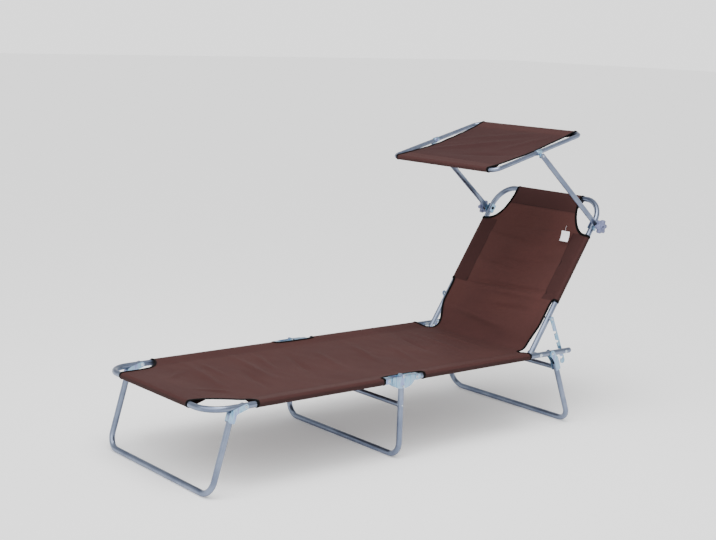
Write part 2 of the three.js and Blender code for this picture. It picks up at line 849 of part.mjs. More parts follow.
function hingeClothGeometry() {
  const z = railHeight + clothRise;
  return clothPanel([
    flatStation(hingeCutStartX + clearance, z, hingeClothReach, bedSag),
    flatStation(hingeCutEndX - clearance, z, hingeClothReach, bedSag),
  ]);
}

function seatClothGeometry() {
  const z = railHeight + clothRise;
  const panel = clothPanel([
    flatStation(hingeCutEndX, z, railY, bedSag),
    flatStation(seatSleeveEndX, z, railY, bedSag),
  ]);
  const sides = [-railY, railY].map((y) => railSleeve(hingeCutEndX, seatSleeveEndX, y, railHeight));
  return join(panel, ...sides);
}

// The crease panel bends from the seat up the back, and its free edges draw in
function creaseClothGeometry() {
  const angle = radians(backAngle);
  const z = railHeight + clothRise;
  const along = new THREE.Vector3(Math.cos(angle), 0, Math.sin(angle));
  const upright = new THREE.Vector3(-Math.sin(angle), 0, Math.cos(angle));
  const pivot = new THREE.Vector3(backPivotX, 0, railHeight).addScaledVector(upright, clothRise);
  const crease = pivot.clone().addScaledVector(along, (z - pivot.z) / along.z);
  const top = pivot.clone().addScaledVector(along, backSleeveStart - clearance);
  const start = new THREE.Vector3(seatSleeveEndX + clearance, 0, z);
  const stations = [];
  const bend = bendStations(start, crease, top, creaseBendRadius, bendSteps);
  const seatRun = bend[0].place.x - start.x;
  for (let i = 0; i < bendSteps; i += 1) {
    const share = 1 - i / bendSteps;
    const half = creaseReach + (railY - creaseReach) * share ** 2;
    stations.push(flatStation(start.x + seatRun * (1 - share), z, half, bedSag));
  }
  bend.forEach((station) => stations.push({ ...station, half: creaseReach, sag: bedSag }));
  const bendEnd = bend[bendSteps].place;
  for (let i = 1; i <= bendSteps; i += 1) {
    const share = i / bendSteps;
    const place = bendEnd.clone().lerp(top, share);
    const half = creaseReach + (creaseBackReach - creaseReach) * Math.sin((Math.PI * share) / 2);
    stations.push({ place, heading: along, half, sag: bedSag });
  }
  return clothPanel(stations);
}

function backClothGeometry() {
  const stations = [flatStation(backSleeveStart, clothRise, backY, bedSag)];
  for (let i = 0; i <= cornerCutSteps; i += 1) {
    const angle = (Math.PI * i) / (2 * cornerCutSteps);
    const x = backLength - (backLength - backSleeveEnd) * Math.cos(angle);
    const half = backY - (backY - backTopSleeveReach) * Math.sin(angle);
    stations.push(flatStation(x, clothRise, half, bedSag * Math.cos(angle)));
  }
  const inner = tubeRadius + sleeveGap;
  const top = sleeveGeometry(inner, inner + sleeveWall, -backTopSleeveReach, backTopSleeveReach, true);
  const sides = [-backY, backY].map((y) => railSleeve(backSleeveStart, backSleeveEnd, y, 0));
  return join(clothPanel(stations), top.translate(backLength, 0, 0), ...sides);
}

function canopyClothGeometry() {
  const stations = [];
  const steps = cornerCutSteps + 1;
  const z = canopyDrop + canopyClothRise;
  for (let i = 0; i <= steps; i += 1) {
    const bow = Math.sin((Math.PI * i) / steps);
    const x = -canopyFrontReach + ((canopyFrontReach + canopyRearReach) * i) / steps;
    const half = canopySleeveReach - (canopySleeveReach - canopyWaistReach) * bow;
    stations.push(flatStation(x, z, half, canopySag * bow));
  }
  const inner = canopyTubeRadius + sleeveGap;
  const bars = [-canopyFrontReach, canopyRearReach].map((x) => {
    const bar = sleeveGeometry(inner, inner + sleeveWall, -canopySleeveReach, canopySleeveReach, true);
    return bar.translate(x, 0, canopyDrop);
  });
  return join(clothPanel(stations), ...bars);
}

// The assembly at rest: each group stands at the pivot that its pieces turn about
const lounger = new THREE.Group();
const plateRivetZ = railHeight + plateRivetRise;

const seat = addGroup(lounger, 0, 0);
addPair(seat, 'seat_rail', seatRailGeometry(), silverPaint);
addPair(seat, 'hinge_plate', hingePlateGeometry(), zincPlate);
const plateRivet = flangePin(rivetRadius).translate(plateRivetX, 0, plateRivetZ);
addPair(seat, 'hinge_plate_rivet', plateRivet, steelRivet);
addPair(seat, 'foot_pivot', flangePin(rivetRadius).translate(0, 0, hingeZ), steelRivet);
addPair(seat, 'middle_leg_pivot', flangePin(rivetRadius).translate(0, 0, middlePivotZ), steelRivet);
addPair(seat, 'rear_leg_pivot', flangePin(rivetRadius).translate(rearPivotX, 0, railHeight), steelRivet);
addPair(seat, 'back_pivot_bolt', backPivotGeometry().translate(backPivotX, 0, railHeight), steelRivet);
addPair(seat, 'ratchet_pin', ratchetPinGeometry().translate(ratchetPinX, 0, railHeight), steelRivet);
addPiece(seat, 'seat_fabric', seatClothGeometry(), brownCloth);
addPiece(seat, 'crease_fabric', creaseClothGeometry(), brownCloth);

const foot = addGroup(lounger, 0, 0);
addPiece(foot, 'foot_tube', footTubeGeometry(), silverPaint);
addPair(foot, 'foot_hinge_eye', hingeEyeGeometry(), zincPlate);
addPair(foot, 'foot_hinge_strap', hingeStrapGeometry(), zincPlate);
const strapRivet = flangePin(rivetRadius).translate(strapRivetX, 0, plateRivetZ);
addPair(foot, 'hinge_strap_rivet', strapRivet, steelRivet);
addPair(foot, 'front_leg_pivot', flangePin(rivetRadius).translate(frontPivotX, 0, railHeight), steelRivet);
addPiece(foot, 'foot_fabric', footClothGeometry(), brownCloth);
addPiece(foot, 'hinge_fabric', hingeClothGeometry(), brownCloth);

const frontLeg = addGroup(lounger, frontPivotX, railHeight, -frontLegAngle);
const frontTube = legTubeGeometry(railHeight, frontLegAngle, frontLegOffset, frontLegTop);
const frontBracket = legBracketGeometry(frontLegOffset, frontElbowDrop, frontLegTop, frontBracketEnd);
addPiece(frontLeg, 'front_leg_tube', frontTube, silverPaint);
addPair(frontLeg, 'front_leg_bracket', frontBracket, zincPlate);

const middleLeg = addGroup(lounger, 0, middlePivotZ);
addPiece(middleLeg, 'middle_leg_tube', middleLegGeometry(), silverPaint);
addPiece(middleLeg, 'middle_crossbar', middleCrossbarGeometry(), silverPaint);

const rearLeg = addGroup(lounger, rearPivotX, railHeight, -rearLegAngle);
const rearTube = legTubeGeometry(railHeight, rearLegAngle, rearLegOffset, rearLegTop);
const rearBracket = legBracketGeometry(rearLegOffset, rearElbowDrop, rearWebTop, rearBracketEnd);
addPiece(rearLeg, 'rear_leg_tube', rearTube, silverPaint);
addPiece(rearLeg, 'rear_crossbar', rearCrossbarGeometry(), silverPaint);
addPair(rearLeg, 'rear_leg_bracket', rearBracket, zincPlate);

const back = addGroup(lounger, backPivotX, railHeight, backAngle);
addPiece(back, 'back_tube', backTubeGeometry(), silverPaint);
addPair(back, 'strut_bolt', strutBoltGeometry().translate(strutPivotAlong, 0, 0), steelRivet);
addPair(back, 'arm_clamp', armClampGeometry().translate(armPivotAlong, 0, 0), zincPlate);
addPiece(back, 'back_fabric', backClothGeometry(), brownCloth);

const struts = addGroup(back, strutPivotAlong, 0, strutAngle - backAngle);
addPair(struts, 'recline_strut', strutGeometry(), zincPlate);

const arms = addGroup(back, armPivotAlong, 0, armAngle - backAngle);
addPair(arms, 'canopy_arm', armGeometry(), silverPaint);
addPair(arms, 'arm_spacer', armSpacerGeometry(), blackPlastic);
addPair(arms, 'knob_bolt', knobBoltGeometry(), steelRivet);
addPair(arms, 'star_knob', starKnobGeometry(), greyPlastic);

const canopy = addGroup(arms, armLength, 0, canopyAngle - armAngle);
addPiece(canopy, 'canopy_tube', canopyTubeGeometry(), silverPaint);
addPair(canopy, 'canopy_clamp', canopyClampGeometry(), zincPlate);
addPair(canopy, 'upper_pivot', upperPivotGeometry(), steelRivet);
addPiece(canopy, 'canopy_fabric', canopyClothGeometry(), brownCloth);

// The origin ends up on the floor under the middle of the whole part
const extent = new THREE.Box3().setFromObject(lounger, true);
lounger.position.x = -(extent.min.x + extent.max.x) / 2;

export default lounger;
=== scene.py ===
"""Folding sun lounger with a tilting canopy: cloth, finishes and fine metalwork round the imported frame."""

import json
import math

import bmesh
import bpy
from mathutils import Matrix, Quaternion, Vector, noise
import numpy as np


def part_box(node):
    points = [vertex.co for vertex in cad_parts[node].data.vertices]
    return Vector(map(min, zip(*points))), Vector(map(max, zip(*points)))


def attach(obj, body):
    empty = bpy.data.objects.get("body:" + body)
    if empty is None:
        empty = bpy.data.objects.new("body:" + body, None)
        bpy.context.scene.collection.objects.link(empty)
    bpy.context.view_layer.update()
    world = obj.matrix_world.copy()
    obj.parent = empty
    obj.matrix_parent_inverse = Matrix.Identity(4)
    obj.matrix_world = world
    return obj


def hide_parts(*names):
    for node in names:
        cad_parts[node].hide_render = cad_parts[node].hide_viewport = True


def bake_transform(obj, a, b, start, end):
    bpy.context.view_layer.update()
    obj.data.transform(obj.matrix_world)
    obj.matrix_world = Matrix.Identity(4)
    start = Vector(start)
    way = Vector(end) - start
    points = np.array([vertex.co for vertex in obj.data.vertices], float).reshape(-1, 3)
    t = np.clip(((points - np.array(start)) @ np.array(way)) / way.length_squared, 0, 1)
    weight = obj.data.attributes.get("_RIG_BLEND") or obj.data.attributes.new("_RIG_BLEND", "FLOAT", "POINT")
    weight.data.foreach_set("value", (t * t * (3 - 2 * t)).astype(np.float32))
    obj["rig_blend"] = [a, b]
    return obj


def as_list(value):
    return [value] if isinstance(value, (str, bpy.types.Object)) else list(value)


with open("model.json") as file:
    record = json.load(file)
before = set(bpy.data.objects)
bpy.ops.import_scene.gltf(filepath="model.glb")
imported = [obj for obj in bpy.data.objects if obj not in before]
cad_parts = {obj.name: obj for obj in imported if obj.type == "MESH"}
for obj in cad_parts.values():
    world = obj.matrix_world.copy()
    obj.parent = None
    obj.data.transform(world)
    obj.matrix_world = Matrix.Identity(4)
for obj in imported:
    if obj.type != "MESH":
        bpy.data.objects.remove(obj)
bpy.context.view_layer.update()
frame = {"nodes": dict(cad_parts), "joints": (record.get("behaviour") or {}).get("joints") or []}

# The lounger is photographed from its foot end and the sitter's left, a little above the bed.
# The camera stands 4.45 m away with a longish lens and is rolled by a degree or two.
PICTURE_WIDTH = 716
FILM_WIDTH = 36.0
FOCAL_PIXELS = 1400.07
CAMERA_TARGET = Vector((-0.018734, 0.0530, 0.5207))
CAMERA_DISTANCE = 4.45
CAMERA_AZIMUTH = math.radians(-39.0055)
CAMERA_ELEVATION = math.radians(9.9325)
CAMERA_ROLL = math.radians(1.8466)


def add_object(name, data):
    """An object in the scene, which shows a camera, a lamp or a mesh."""
    thing = bpy.data.objects.new(name, data)
    bpy.context.scene.collection.objects.link(thing)
    return thing


def add_camera():
    """The lens, its place on a circle round the target, and its roll."""
    lens = bpy.data.cameras.new("camera")
    lens.sensor_width = FILM_WIDTH
    lens.lens = FOCAL_PIXELS * FILM_WIDTH / PICTURE_WIDTH
    camera = add_object("camera", lens)
    level = math.cos(CAMERA_ELEVATION)
    back = Vector((
        math.sin(CAMERA_AZIMUTH) * level,
        -math.cos(CAMERA_AZIMUTH) * level,
        math.sin(CAMERA_ELEVATION),
    ))
    camera.location = CAMERA_TARGET + back * CAMERA_DISTANCE
    camera.rotation_mode = "QUATERNION"
    roll = Quaternion((0, 0, 1), CAMERA_ROLL)
    camera.rotation_quaternion = (-back).to_track_quat("-Z", "Y") @ roll
    bpy.context.scene.camera = camera


add_camera()

# A white studio sweep: the floor and the wall behind show as nearly one pale grey. A wide soft lamp stands
# above and to the left of the camera, a softbox hangs overhead, and the room is dimmer above than below.
FLOOR_REACH = 40.0
FLOOR_SHARE = 0.904
SWEEP_WHITE = 1.8
CEILING_WHITE = 0.55
SWEEP_TOP = 0.06
CEILING_START = 0.30
KEY_PLACE = Vector((-2.4, -1.6, 4.2))
KEY_POWER = 3.9
KEY_SPREAD = math.radians(80)
SOFTBOX_PLACE = Vector((-0.4, -0.7, 3.0))
SOFTBOX_POWER = 55
SOFTBOX_SIZE = 1.4
WHITE = (1.0, 1.0, 1.0, 1.0)


def linear(hex_value):
    """An sRGB hex colour as the linear RGBA that a shader takes."""
    shares = [(hex_value >> shift & 0xFF) / 0xFF for shift in (16, 8, 0)]
    return (*[s / 12.92 if s <= 0.04045 else ((s + 0.055) / 1.055) ** 2.4 for s in shares], 1.0)


def add_node(tree, kind, inputs=None, **settings):
    """Adds a node, sets it up, and fills or links its inputs."""
    node = tree.nodes.new(kind)
    for name, value in settings.items():
        setattr(node, name, value)
    for socket, value in (inputs or {}).items():
        if isinstance(value, bpy.types.NodeSocket):
            tree.links.new(value, node.inputs[socket])
        else:
            node.inputs[socket].default_value = value
    return node


def new_material(name):
    """A material without nodes, and its node tree."""
    material = bpy.data.materials.new(name)
    material.use_nodes = True
    material.node_tree.nodes.clear()
    return material, material.node_tree


def add_floor():
    """A wide sheet of white paper that glows a little, so that it looks nearly as pale as the wall."""
    bm = bmesh.new()
    bmesh.ops.create_grid(bm, x_segments=1, y_segments=1, size=FLOOR_REACH)
    mesh = bpy.data.meshes.new("floor")
    bm.to_mesh(mesh)
    bm.free()
    floor = add_object("floor", mesh)
    paper, tree = new_material("white_studio_paper")
    shader = add_node(tree, "ShaderNodeBsdfPrincipled", {
        "Base Color": (FLOOR_SHARE, FLOOR_SHARE, FLOOR_SHARE, 1.0),
        "Roughness": 1.0,
        "Specular IOR Level": 0.0,
        "Emission Color": WHITE,
        "Emission Strength": (1 - FLOOR_SHARE) * SWEEP_WHITE,
    })
    add_node(tree, "ShaderNodeOutputMaterial", {"Surface": shader.outputs["BSDF"]})
    mesh.materials.append(paper)


def add_room_light():
    """The light that the walls and the ceiling throw back."""
    world = bpy.data.worlds.new("white_room")
    world.use_nodes = True
    tree = world.node_tree
    tree.nodes.clear()
    view = add_node(tree, "ShaderNodeTexCoord")
    height = add_node(tree, "ShaderNodeSeparateXYZ", {"Vector": view.outputs["Generated"]})
    glow = add_node(tree, "ShaderNodeMapRange", {
        "Value": height.outputs["Z"],
        "From Min": SWEEP_TOP,
        "From Max": CEILING_START,
        "To Min": SWEEP_WHITE,
        "To Max": CEILING_WHITE,
    }, interpolation_type="SMOOTHSTEP")
    room = add_node(tree, "ShaderNodeBackground", {"Color": WHITE, "Strength": glow.outputs["Result"]})
    add_node(tree, "ShaderNodeOutputWorld", {"Surface": room.outputs["Background"]})
    bpy.context.scene.world = world


def add_lamp(name, kind, place, power):
    """A lamp that faces the camera's target."""
    light = bpy.data.lights.new(name, kind)
    light.energy = power
    lamp = add_object(name, light)
    lamp.location = place
    lamp.rotation_mode = "QUATERNION"
    lamp.rotation_quaternion = (CAMERA_TARGET - lamp.location).to_track_quat("-Z", "Y")
    return light


add_floor()
add_room_light()
add_lamp("key_lamp", "SUN", KEY_PLACE, KEY_POWER).angle = KEY_SPREAD
add_lamp("softbox_overhead", "AREA", SOFTBOX_PLACE, SOFTBOX_POWER).size = SOFTBOX_SIZE

# The foot end is one U of 18 mm steel tube, painted silver-grey like every tube of the frame. It is powder
# coated, so it is satin, a little bluish, and speckled by metal flake. Real flake is far finer than the
# 0.6 mm drawn here, and would not show.
TUBE_RADIUS = 0.009
TUBE_SIDES = 32
BEND_STEPS = 14
TUBE_WALL = 0.0012
TUBE_END_DEPTH = 0.012
THICKEST_WALL_SHARE = 0.25
FOOT_BEND = 0.070
FLAKE_SIZE = 0.0006
SILVER_COAT = {
    "tones": ((0.35, 0x667086), (0.65, 0x7C869B)), "cloud": {"Scale": 14.0, "Detail": 3.0},
    "fine": {"Scale": 1 / FLAKE_SIZE, "Detail": 1.0}, "gloss": (0.24, 0.36), "relief": (0.08, FLAKE_SIZE / 6),
    "surface": {"Metallic": 0.85},
}
SHARP_ANGLE = math.radians(35)
MERGE_DISTANCE = 0.00002
ACROSS = Vector((0, 1, 0))

joint = {j["name"]: Vector(j["pos_m"]) for j in frame["joints"]}
back_pivot = joint["back_recline"]
rail_z = back_pivot.z
rail_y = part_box("seat_rail_right")[1].y - TUBE_RADIUS
foot_end_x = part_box("foot_tube")[0].x + TUBE_RADIUS
foot_rail_end_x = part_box("foot_tube")[1].x


def mottled(name, tones, cloud, fine=None, stretch=None, gloss=None, relief=None, surface=None):
    """A material whose tone follows one noise, and whose gloss and relief follow a finer one or the same.

    tones are places on the ramp and their colours, gloss is the least and the most roughness, and relief is
    a strength and a depth.
    """
    material, tree = new_material(name)
    spot = add_node(tree, "ShaderNodeTexCoord").outputs["Object"]
    if stretch:
        spot = add_node(tree, "ShaderNodeMapping", {"Vector": spot, "Scale": stretch}).outputs["Vector"]
    clouds = specks = add_node(tree, "ShaderNodeTexNoise", {"Vector": spot, **cloud}).outputs["Fac"]
    if fine:
        specks = add_node(tree, "ShaderNodeTexNoise", {"Vector": spot, **fine}).outputs["Fac"]
    tint = add_node(tree, "ShaderNodeValToRGB", {"Fac": clouds})
    stops = tint.color_ramp.elements
    for i, (at, tone) in enumerate(tones):
        stop = stops[i] if i < len(stops) else stops.new(at)
        stop.position, stop.color = at, linear(tone)
    inputs = {"Base Color": tint.outputs["Color"], **(surface or {})}
    if gloss:
        least, most = gloss
        shine = add_node(tree, "ShaderNodeMapRange", {"Value": specks, "To Min": least, "To Max": most})
        inputs["Roughness"] = shine.outputs["Result"]
    if relief:
        strength, depth = relief
        bump = add_node(tree, "ShaderNodeBump", {"Height": specks, "Strength": strength, "Distance": depth})
        inputs["Normal"] = bump.outputs["Normal"]
    shader = add_node(tree, "ShaderNodeBsdfPrincipled", inputs)
    add_node(tree, "ShaderNodeOutputMaterial", {"Surface": shader.outputs["BSDF"]})
    return material


def settle(bm, name, finish, sharp=SHARP_ANGLE):
    """Merges and orients a bmesh, shades it smooth between sharp edges, and gives it its finish's material.
    """
    material, slot = finish
    bmesh.ops.remove_doubles(bm, verts=bm.verts, dist=MERGE_DISTANCE)
    bmesh.ops.recalc_face_normals(bm, faces=bm.faces)
    for face in bm.faces:
        face.smooth = True
    for edge in bm.edges:
        edge.smooth = edge.calc_face_angle(0.0) < sharp
    mesh = bpy.data.meshes.new(name)
    bm.to_mesh(mesh)
    bm.free()
    mesh.materials.append(material)
    piece = add_object(name, mesh)
    return piece


def fit(bm, name, finish, body, *nodes):
    """Settles a piece, rides it on its body and lets it stand for CAD nodes."""
    piece = settle(bm, name, finish)
    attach(piece, body)
    if nodes:
        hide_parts(*nodes)
    return piece


def facing(direction, place):
    """The matrix that turns +Z to a direction and moves to a place."""
    return Matrix.Translation(place) @ direction.to_track_quat("Z", "Y").to_matrix().to_4x4()


def extrude_run(bm, ring, move):
    """Draws a ring of edges out by a straight run, and gives the new ring."""
    made = bmesh.ops.extrude_edge_only(bm, edges=ring)["geom"]
    verts = {g for g in made if isinstance(g, bmesh.types.BMVert)}
    bmesh.ops.translate(bm, verts=list(verts), vec=move)
    edges = {e for v in verts for e in v.link_edges}
    return [e for e in edges if e.verts[0] in verts and e.verts[1] in verts]


def hollow_end(bm, ring, inward):
    """Closes a tube's end with its cut wall and a short bore."""
    face = bmesh.ops.contextual_create(bm, geom=ring)["faces"][0]
    wall = min(TUBE_WALL, math.sqrt(face.calc_area()) * THICKEST_WALL_SHARE)
    bmesh.ops.inset_individual(bm, faces=[face], thickness=wall)
    deep = bmesh.ops.extrude_discrete_faces(bm, faces=[face])["faces"][0]
    bmesh.ops.translate(bm, verts=list(deep.verts), vec=inward * TUBE_END_DEPTH)


def bent_tube(corners, bend, radius=TUBE_RADIUS, closed=False):
    """A round tube along straight runs and bends. A closed one starts halfway along its last run."""
    bm = bmesh.new()
    if closed:
        middle = (corners[-1] + corners[0]) / 2
        corners = [middle, *corners, middle]
    here = corners[0]
    heading = (corners[1] - here).normalized()
    bmesh.ops.create_circle(bm, segments=TUBE_SIDES, radius=radius, matrix=facing(heading, here))
    first = ring = list(bm.edges)
    for before, corner, after in zip(corners, corners[1:], corners[2:]):
        entering = (corner - before).normalized()
        leaving = (after - corner).normalized()
        turn = entering.angle(leaving)
        setback = bend * math.tan(turn / 2)
        start = corner - entering * setback
        axis = entering.cross(leaving).normalized()
        ring = extrude_run(bm, ring, start - here)
        spun = bmesh.ops.spin(
            bm, geom=ring, cent=start + axis.cross(entering) * bend, axis=axis, angle=turn, steps=BEND_STEPS,
        )
        ring = [g for g in spun["geom_last"] if isinstance(g, bmesh.types.BMEdge)]
        here = corner + leaving * setback
    ring = extrude_run(bm, ring, corners[-1] - here)
    if not closed:
        hollow_end(bm, first, (corners[1] - corners[0]).normalized())
        hollow_end(bm, ring, (corners[-2] - corners[-1]).normalized())
    return bm


def add_u(name, start, turn, half_width, bend, body, node, **tube):
    """A painted U or loop: down one side from start to turn, across, and back."""
    near, far = -ACROSS * half_width, ACROSS * half_width
    corners = [start + near, turn + near, turn + far, start + far]
    fit(bent_tube(corners, bend, **tube), name, silver, body, node)


silver = mottled("silver_powder_coat", **SILVER_COAT), "silver_paint"
foot_start, foot_turn = Vector((foot_rail_end_x, 0, rail_z)), Vector((foot_end_x, 0, rail_z))
add_u("foot_end_tube", foot_start, foot_turn, rail_y, FOOT_BEND, "foot_frame", "foot_tube")

# Each leg is one bent U that hangs from its pivots. The front and rear legs lean outwards and are set off
# from the pivot's line by their brackets, and every foot bar lies flat on the floor.
LEG_BEND = 0.045
FRONT_LEAN = math.radians(16.1)
FRONT_OFFSET = -0.035
FRONT_TOP = -0.024
REAR_LEAN = math.radians(-20.9)
REAR_OFFSET = 0.0114
REAR_TOP = -0.042
MIDDLE_TOP = 0.005

front_pivot = joint["front_leg_fold"]
middle_pivot = joint["middle_leg_fold"]
rear_pivot = joint["rear_leg_fold"]


def leg_axes(lean):
    """The directions down a leg and square across it."""
    down = Vector((-math.sin(lean), 0, -math.cos(lean)))
    return down, Vector((math.cos(lean), 0, -math.sin(lean)))


for word, pivot, lean, offset, top in (
    ("front", front_pivot, FRONT_LEAN, FRONT_OFFSET, FRONT_TOP),
    ("middle", middle_pivot, 0.0, 0.0, MIDDLE_TOP),
    ("rear", rear_pivot, REAR_LEAN, REAR_OFFSET, REAR_TOP),
):
    down, square = leg_axes(lean)
    start = pivot + square * offset - down * top
    foot = start + down * ((start.z - TUBE_RADIUS) / math.cos(lean))
    add_u(f"{word}_leg", start, foot, rail_y, LEG_BEND, f"{word}_leg", f"{word}_leg_tube")

# The back frame is one more U of the same tube, a little narrower than the seat.
# It stands inside the seat rails, and its two ends are bolted to them.
BACK_BEND = 0.076
BACK_START = -0.009
BACK_LENGTH = 0.572

arm_pivot = joint["canopy_arm_tilt"]
back_along = (arm_pivot - back_pivot).normalized()
back_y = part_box("back_tube")[1].y - TUBE_RADIUS
back_low, back_top = (back_pivot + back_along * along for along in (BACK_START, BACK_LENGTH))
add_u("back_frame_tube", back_low, back_top, back_y, BACK_BEND, "back_frame", "back_tube")

# The canopy's frame is a closed loop of thinner steel tube, 14 mm, bent at four tight corners.
# It is painted like the rest, and pitched up towards the head end.
CANOPY_PITCH = math.radians(15)
CANOPY_TUBE_RADIUS = 0.007
CANOPY_DROP = 0.0113
CANOPY_FRONT = 0.196
CANOPY_REAR = 0.204
CANOPY_BEND = 0.026

canopy_pivot = joint["canopy_tilt"]
canopy_along = Vector((math.cos(CANOPY_PITCH), 0, math.sin(CANOPY_PITCH)))
canopy_up = Vector((-canopy_along.z, 0, canopy_along.x))
canopy_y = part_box("canopy_tube")[1].y - CANOPY_TUBE_RADIUS
canopy_centre = canopy_pivot + canopy_up * CANOPY_DROP
canopy_front = canopy_centre - canopy_along * CANOPY_FRONT
canopy_rear = canopy_centre + canopy_along * CANOPY_REAR
add_u(
    "canopy_loop_tube", canopy_front, canopy_rear, canopy_y, CANOPY_BEND, "canopy_frame", "canopy_tube",
    radius=CANOPY_TUBE_RADIUS, closed=True,
)

# The seat rails are straight lengths of the same painted tube. The head end is spun to a dome, and the other
# end sits in the middle hinge.
ALONG = Vector((1, 0, 0))
LEFT, RIGHT = -1, 1
SIDE_NAMES = {LEFT: "left", RIGHT: "right"}
DOME_STEPS = 8

seat_rail_start_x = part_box("seat_rail_left")[0].x
seat_rail_tip_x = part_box("seat_rail_left")[1].x


def seat_rail(side):
    """A tube from the middle hinge to its domed tip."""
    bm = bmesh.new()
    start = Vector((seat_rail_start_x, side * rail_y, rail_z))
    dome = Vector((seat_rail_tip_x - TUBE_RADIUS, side * rail_y, rail_z))
    bmesh.ops.create_circle(bm, segments=TUBE_SIDES, radius=TUBE_RADIUS, matrix=facing(ALONG, start))
    first = list(bm.edges)
    ring = extrude_run(bm, first, dome - start)
    turns = [math.pi / 2 * i / DOME_STEPS for i in range(DOME_STEPS)]
    for before, now in zip(turns, turns[1:]):
        ring = extrude_run(bm, ring, ALONG * TUBE_RADIUS * (math.sin(now) - math.sin(before)))
        share = math.cos(now) / math.cos(before)
        verts = {vert for edge in ring for vert in edge.verts}
        bmesh.ops.scale(bm, vec=(1, share, share), space=Matrix.Translation(-dome), verts=list(verts))
    cap = bmesh.ops.contextual_create(bm, geom=ring)["faces"]
    bmesh.ops.poke(bm, faces=cap, offset=TUBE_RADIUS * (1 - math.sin(turns[-1])))
    hollow_end(bm, first, ALONG)
    return bm


for side, name in SIDE_NAMES.items():
    fit(seat_rail(side), f"seat_rail_tube_{name}", silver, "seat_frame", f"seat_rail_{name}")

# Crossbars of 16 mm tube are welded across the middle leg and the rear leg, and painted with them.
# The weld runs round each end as a lumpy bead, and follows the round tube of the middle leg.
CROSSBAR_RADIUS = 0.008
MIDDLE_BAR_HEIGHT = 0.170
REAR_BAR_DROP = 0.060
BEAD_RADIUS = 0.0021
BEAD_SIDES = 12
BEAD_STEPS = 40
LUMP_HEIGHT = 0.0005
LUMPS_PER_METRE = 400
SADDLE_DEPTH = 0.004
UP = Vector((0, 0, 1))


def weld_bead(centre, side, saddle):
    """A bead round a bar's end, which is coped round a leg or stands flat on a bracket."""
    bm = bmesh.new()
    rim = centre + UP * CROSSBAR_RADIUS
    bmesh.ops.create_circle(bm, segments=BEAD_SIDES, radius=BEAD_RADIUS, matrix=facing(ALONG, rim))
    bmesh.ops.spin(
        bm, geom=bm.verts[:] + bm.edges[:], cent=centre, axis=ACROSS, angle=math.tau, steps=BEAD_STEPS,
        use_merge=True,
    )
    for vert in bm.verts:
        off = vert.co.x - centre.x
        if saddle:
            vert.co.y += side * (TUBE_RADIUS - math.sqrt(max(TUBE_RADIUS ** 2 - off ** 2, 0)))
        vert.co += (vert.co - centre).normalized() * LUMP_HEIGHT * noise.noise(vert.co * LUMPS_PER_METRE)
    return bm


def crossbar(name, centre, reach, body, saddle):
    """A bar that ends at a reach on each side, or runs a little into the legs there, and its two beads."""
    end = ACROSS * (reach + (SADDLE_DEPTH if saddle else 0))
    fit(bent_tube([centre - end, centre + end], 0, CROSSBAR_RADIUS), f"{name}_tube", silver, body, name)
    for side, word in SIDE_NAMES.items():
        fit(weld_bead(centre + ACROSS * side * reach, side, saddle), f"{name}_weld_{word}", silver, body)


middle_bar = Vector((middle_pivot.x, 0, MIDDLE_BAR_HEIGHT))
crossbar("middle_crossbar", middle_bar, rail_y - TUBE_RADIUS, "middle_leg", True)
rear_down, rear_square = leg_axes(REAR_LEAN)
rear_bar = rear_pivot + rear_square * REAR_OFFSET + rear_down * REAR_BAR_DROP
crossbar("rear_crossbar", rear_bar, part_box("rear_crossbar")[1].y, "rear_leg", False)

# The canopy arms are steel tubes pressed to a flat oval 18 mm wide, and pressed thinner again at the drilled
# ends. They are painted like the frame.
ARM_WIDTH = 0.018
ARM_THICKNESS = 0.009
ARM_END_THICKNESS = 0.005
ARM_FLAT_LENGTH = 0.020
ARM_SWELL_LENGTH = 0.026
ARM_SIDES = 40
ARM_TIP_STEPS = 6
ARM_SWELL_STEPS = 6
OVAL_SHARE = 0.6


def ease(share):
    """Rises smoothly from 0 to 1."""
    share = min(max(share, 0.0), 1.0)
    return share * share * (3 - 2 * share)


def arm_sections(length):
    """Sections of an arm: the distance along it, half its width and half its thickness."""
    half = ARM_WIDTH / 2
    thin, thick = ARM_END_THICKNESS / 2, ARM_THICKNESS / 2
    ends = []
    for i in range(1, ARM_TIP_STEPS + 1):
        turn = math.pi / 2 * i / ARM_TIP_STEPS
        ends.append((-half * math.cos(turn), half * math.sin(turn), thin))
    for i in range(ARM_SWELL_STEPS + 1):
        share = i / ARM_SWELL_STEPS
        ends.append((ARM_FLAT_LENGTH + ARM_SWELL_LENGTH * share, half, thin + (thick - thin) * ease(share)))
    return ends + [(length - along, wide, deep) for along, wide, deep in reversed(ends)]


def edges_of(verts):
    """Every edge that meets some vertices."""
    return list({edge for vert in verts for edge in vert.link_edges})


def loft(bm, rings):
    """Bridges rings of edges as they are drawn, and closes the first and the last."""
    last = []
    for ring in rings:
        if last:
            bmesh.ops.bridge_loops(bm, edges=last + ring)
        else:
            bmesh.ops.contextual_create(bm, geom=ring)
        last = ring
    bmesh.ops.contextual_create(bm, geom=last)
    return bm


def arm_rings(bm, name):
    """Draws flat-oval rings from an arm's lower to its upper pivot."""
    low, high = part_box(f"canopy_arm_{name}")
    middle = ACROSS * (low.y + high.y) / 2
    along = (canopy_pivot - arm_pivot).normalized()
    axes = Matrix((ACROSS, along.cross(ACROSS), along)).transposed().to_4x4()
    for place, half_wide, half_deep in arm_sections((canopy_pivot - arm_pivot).length):
        made = bmesh.ops.create_circle(bm, segments=ARM_SIDES, radius=1)["verts"]
        for vert in made:
            vert.co.x = math.copysign(abs(vert.co.x) ** OVAL_SHARE, vert.co.x)
        bmesh.ops.scale(bm, vec=(half_deep, half_wide, 1), verts=made)
        there = Matrix.Translation(middle + arm_pivot + along * place)
        bmesh.ops.transform(bm, matrix=there @ axes, verts=made)
        yield edges_of(made)


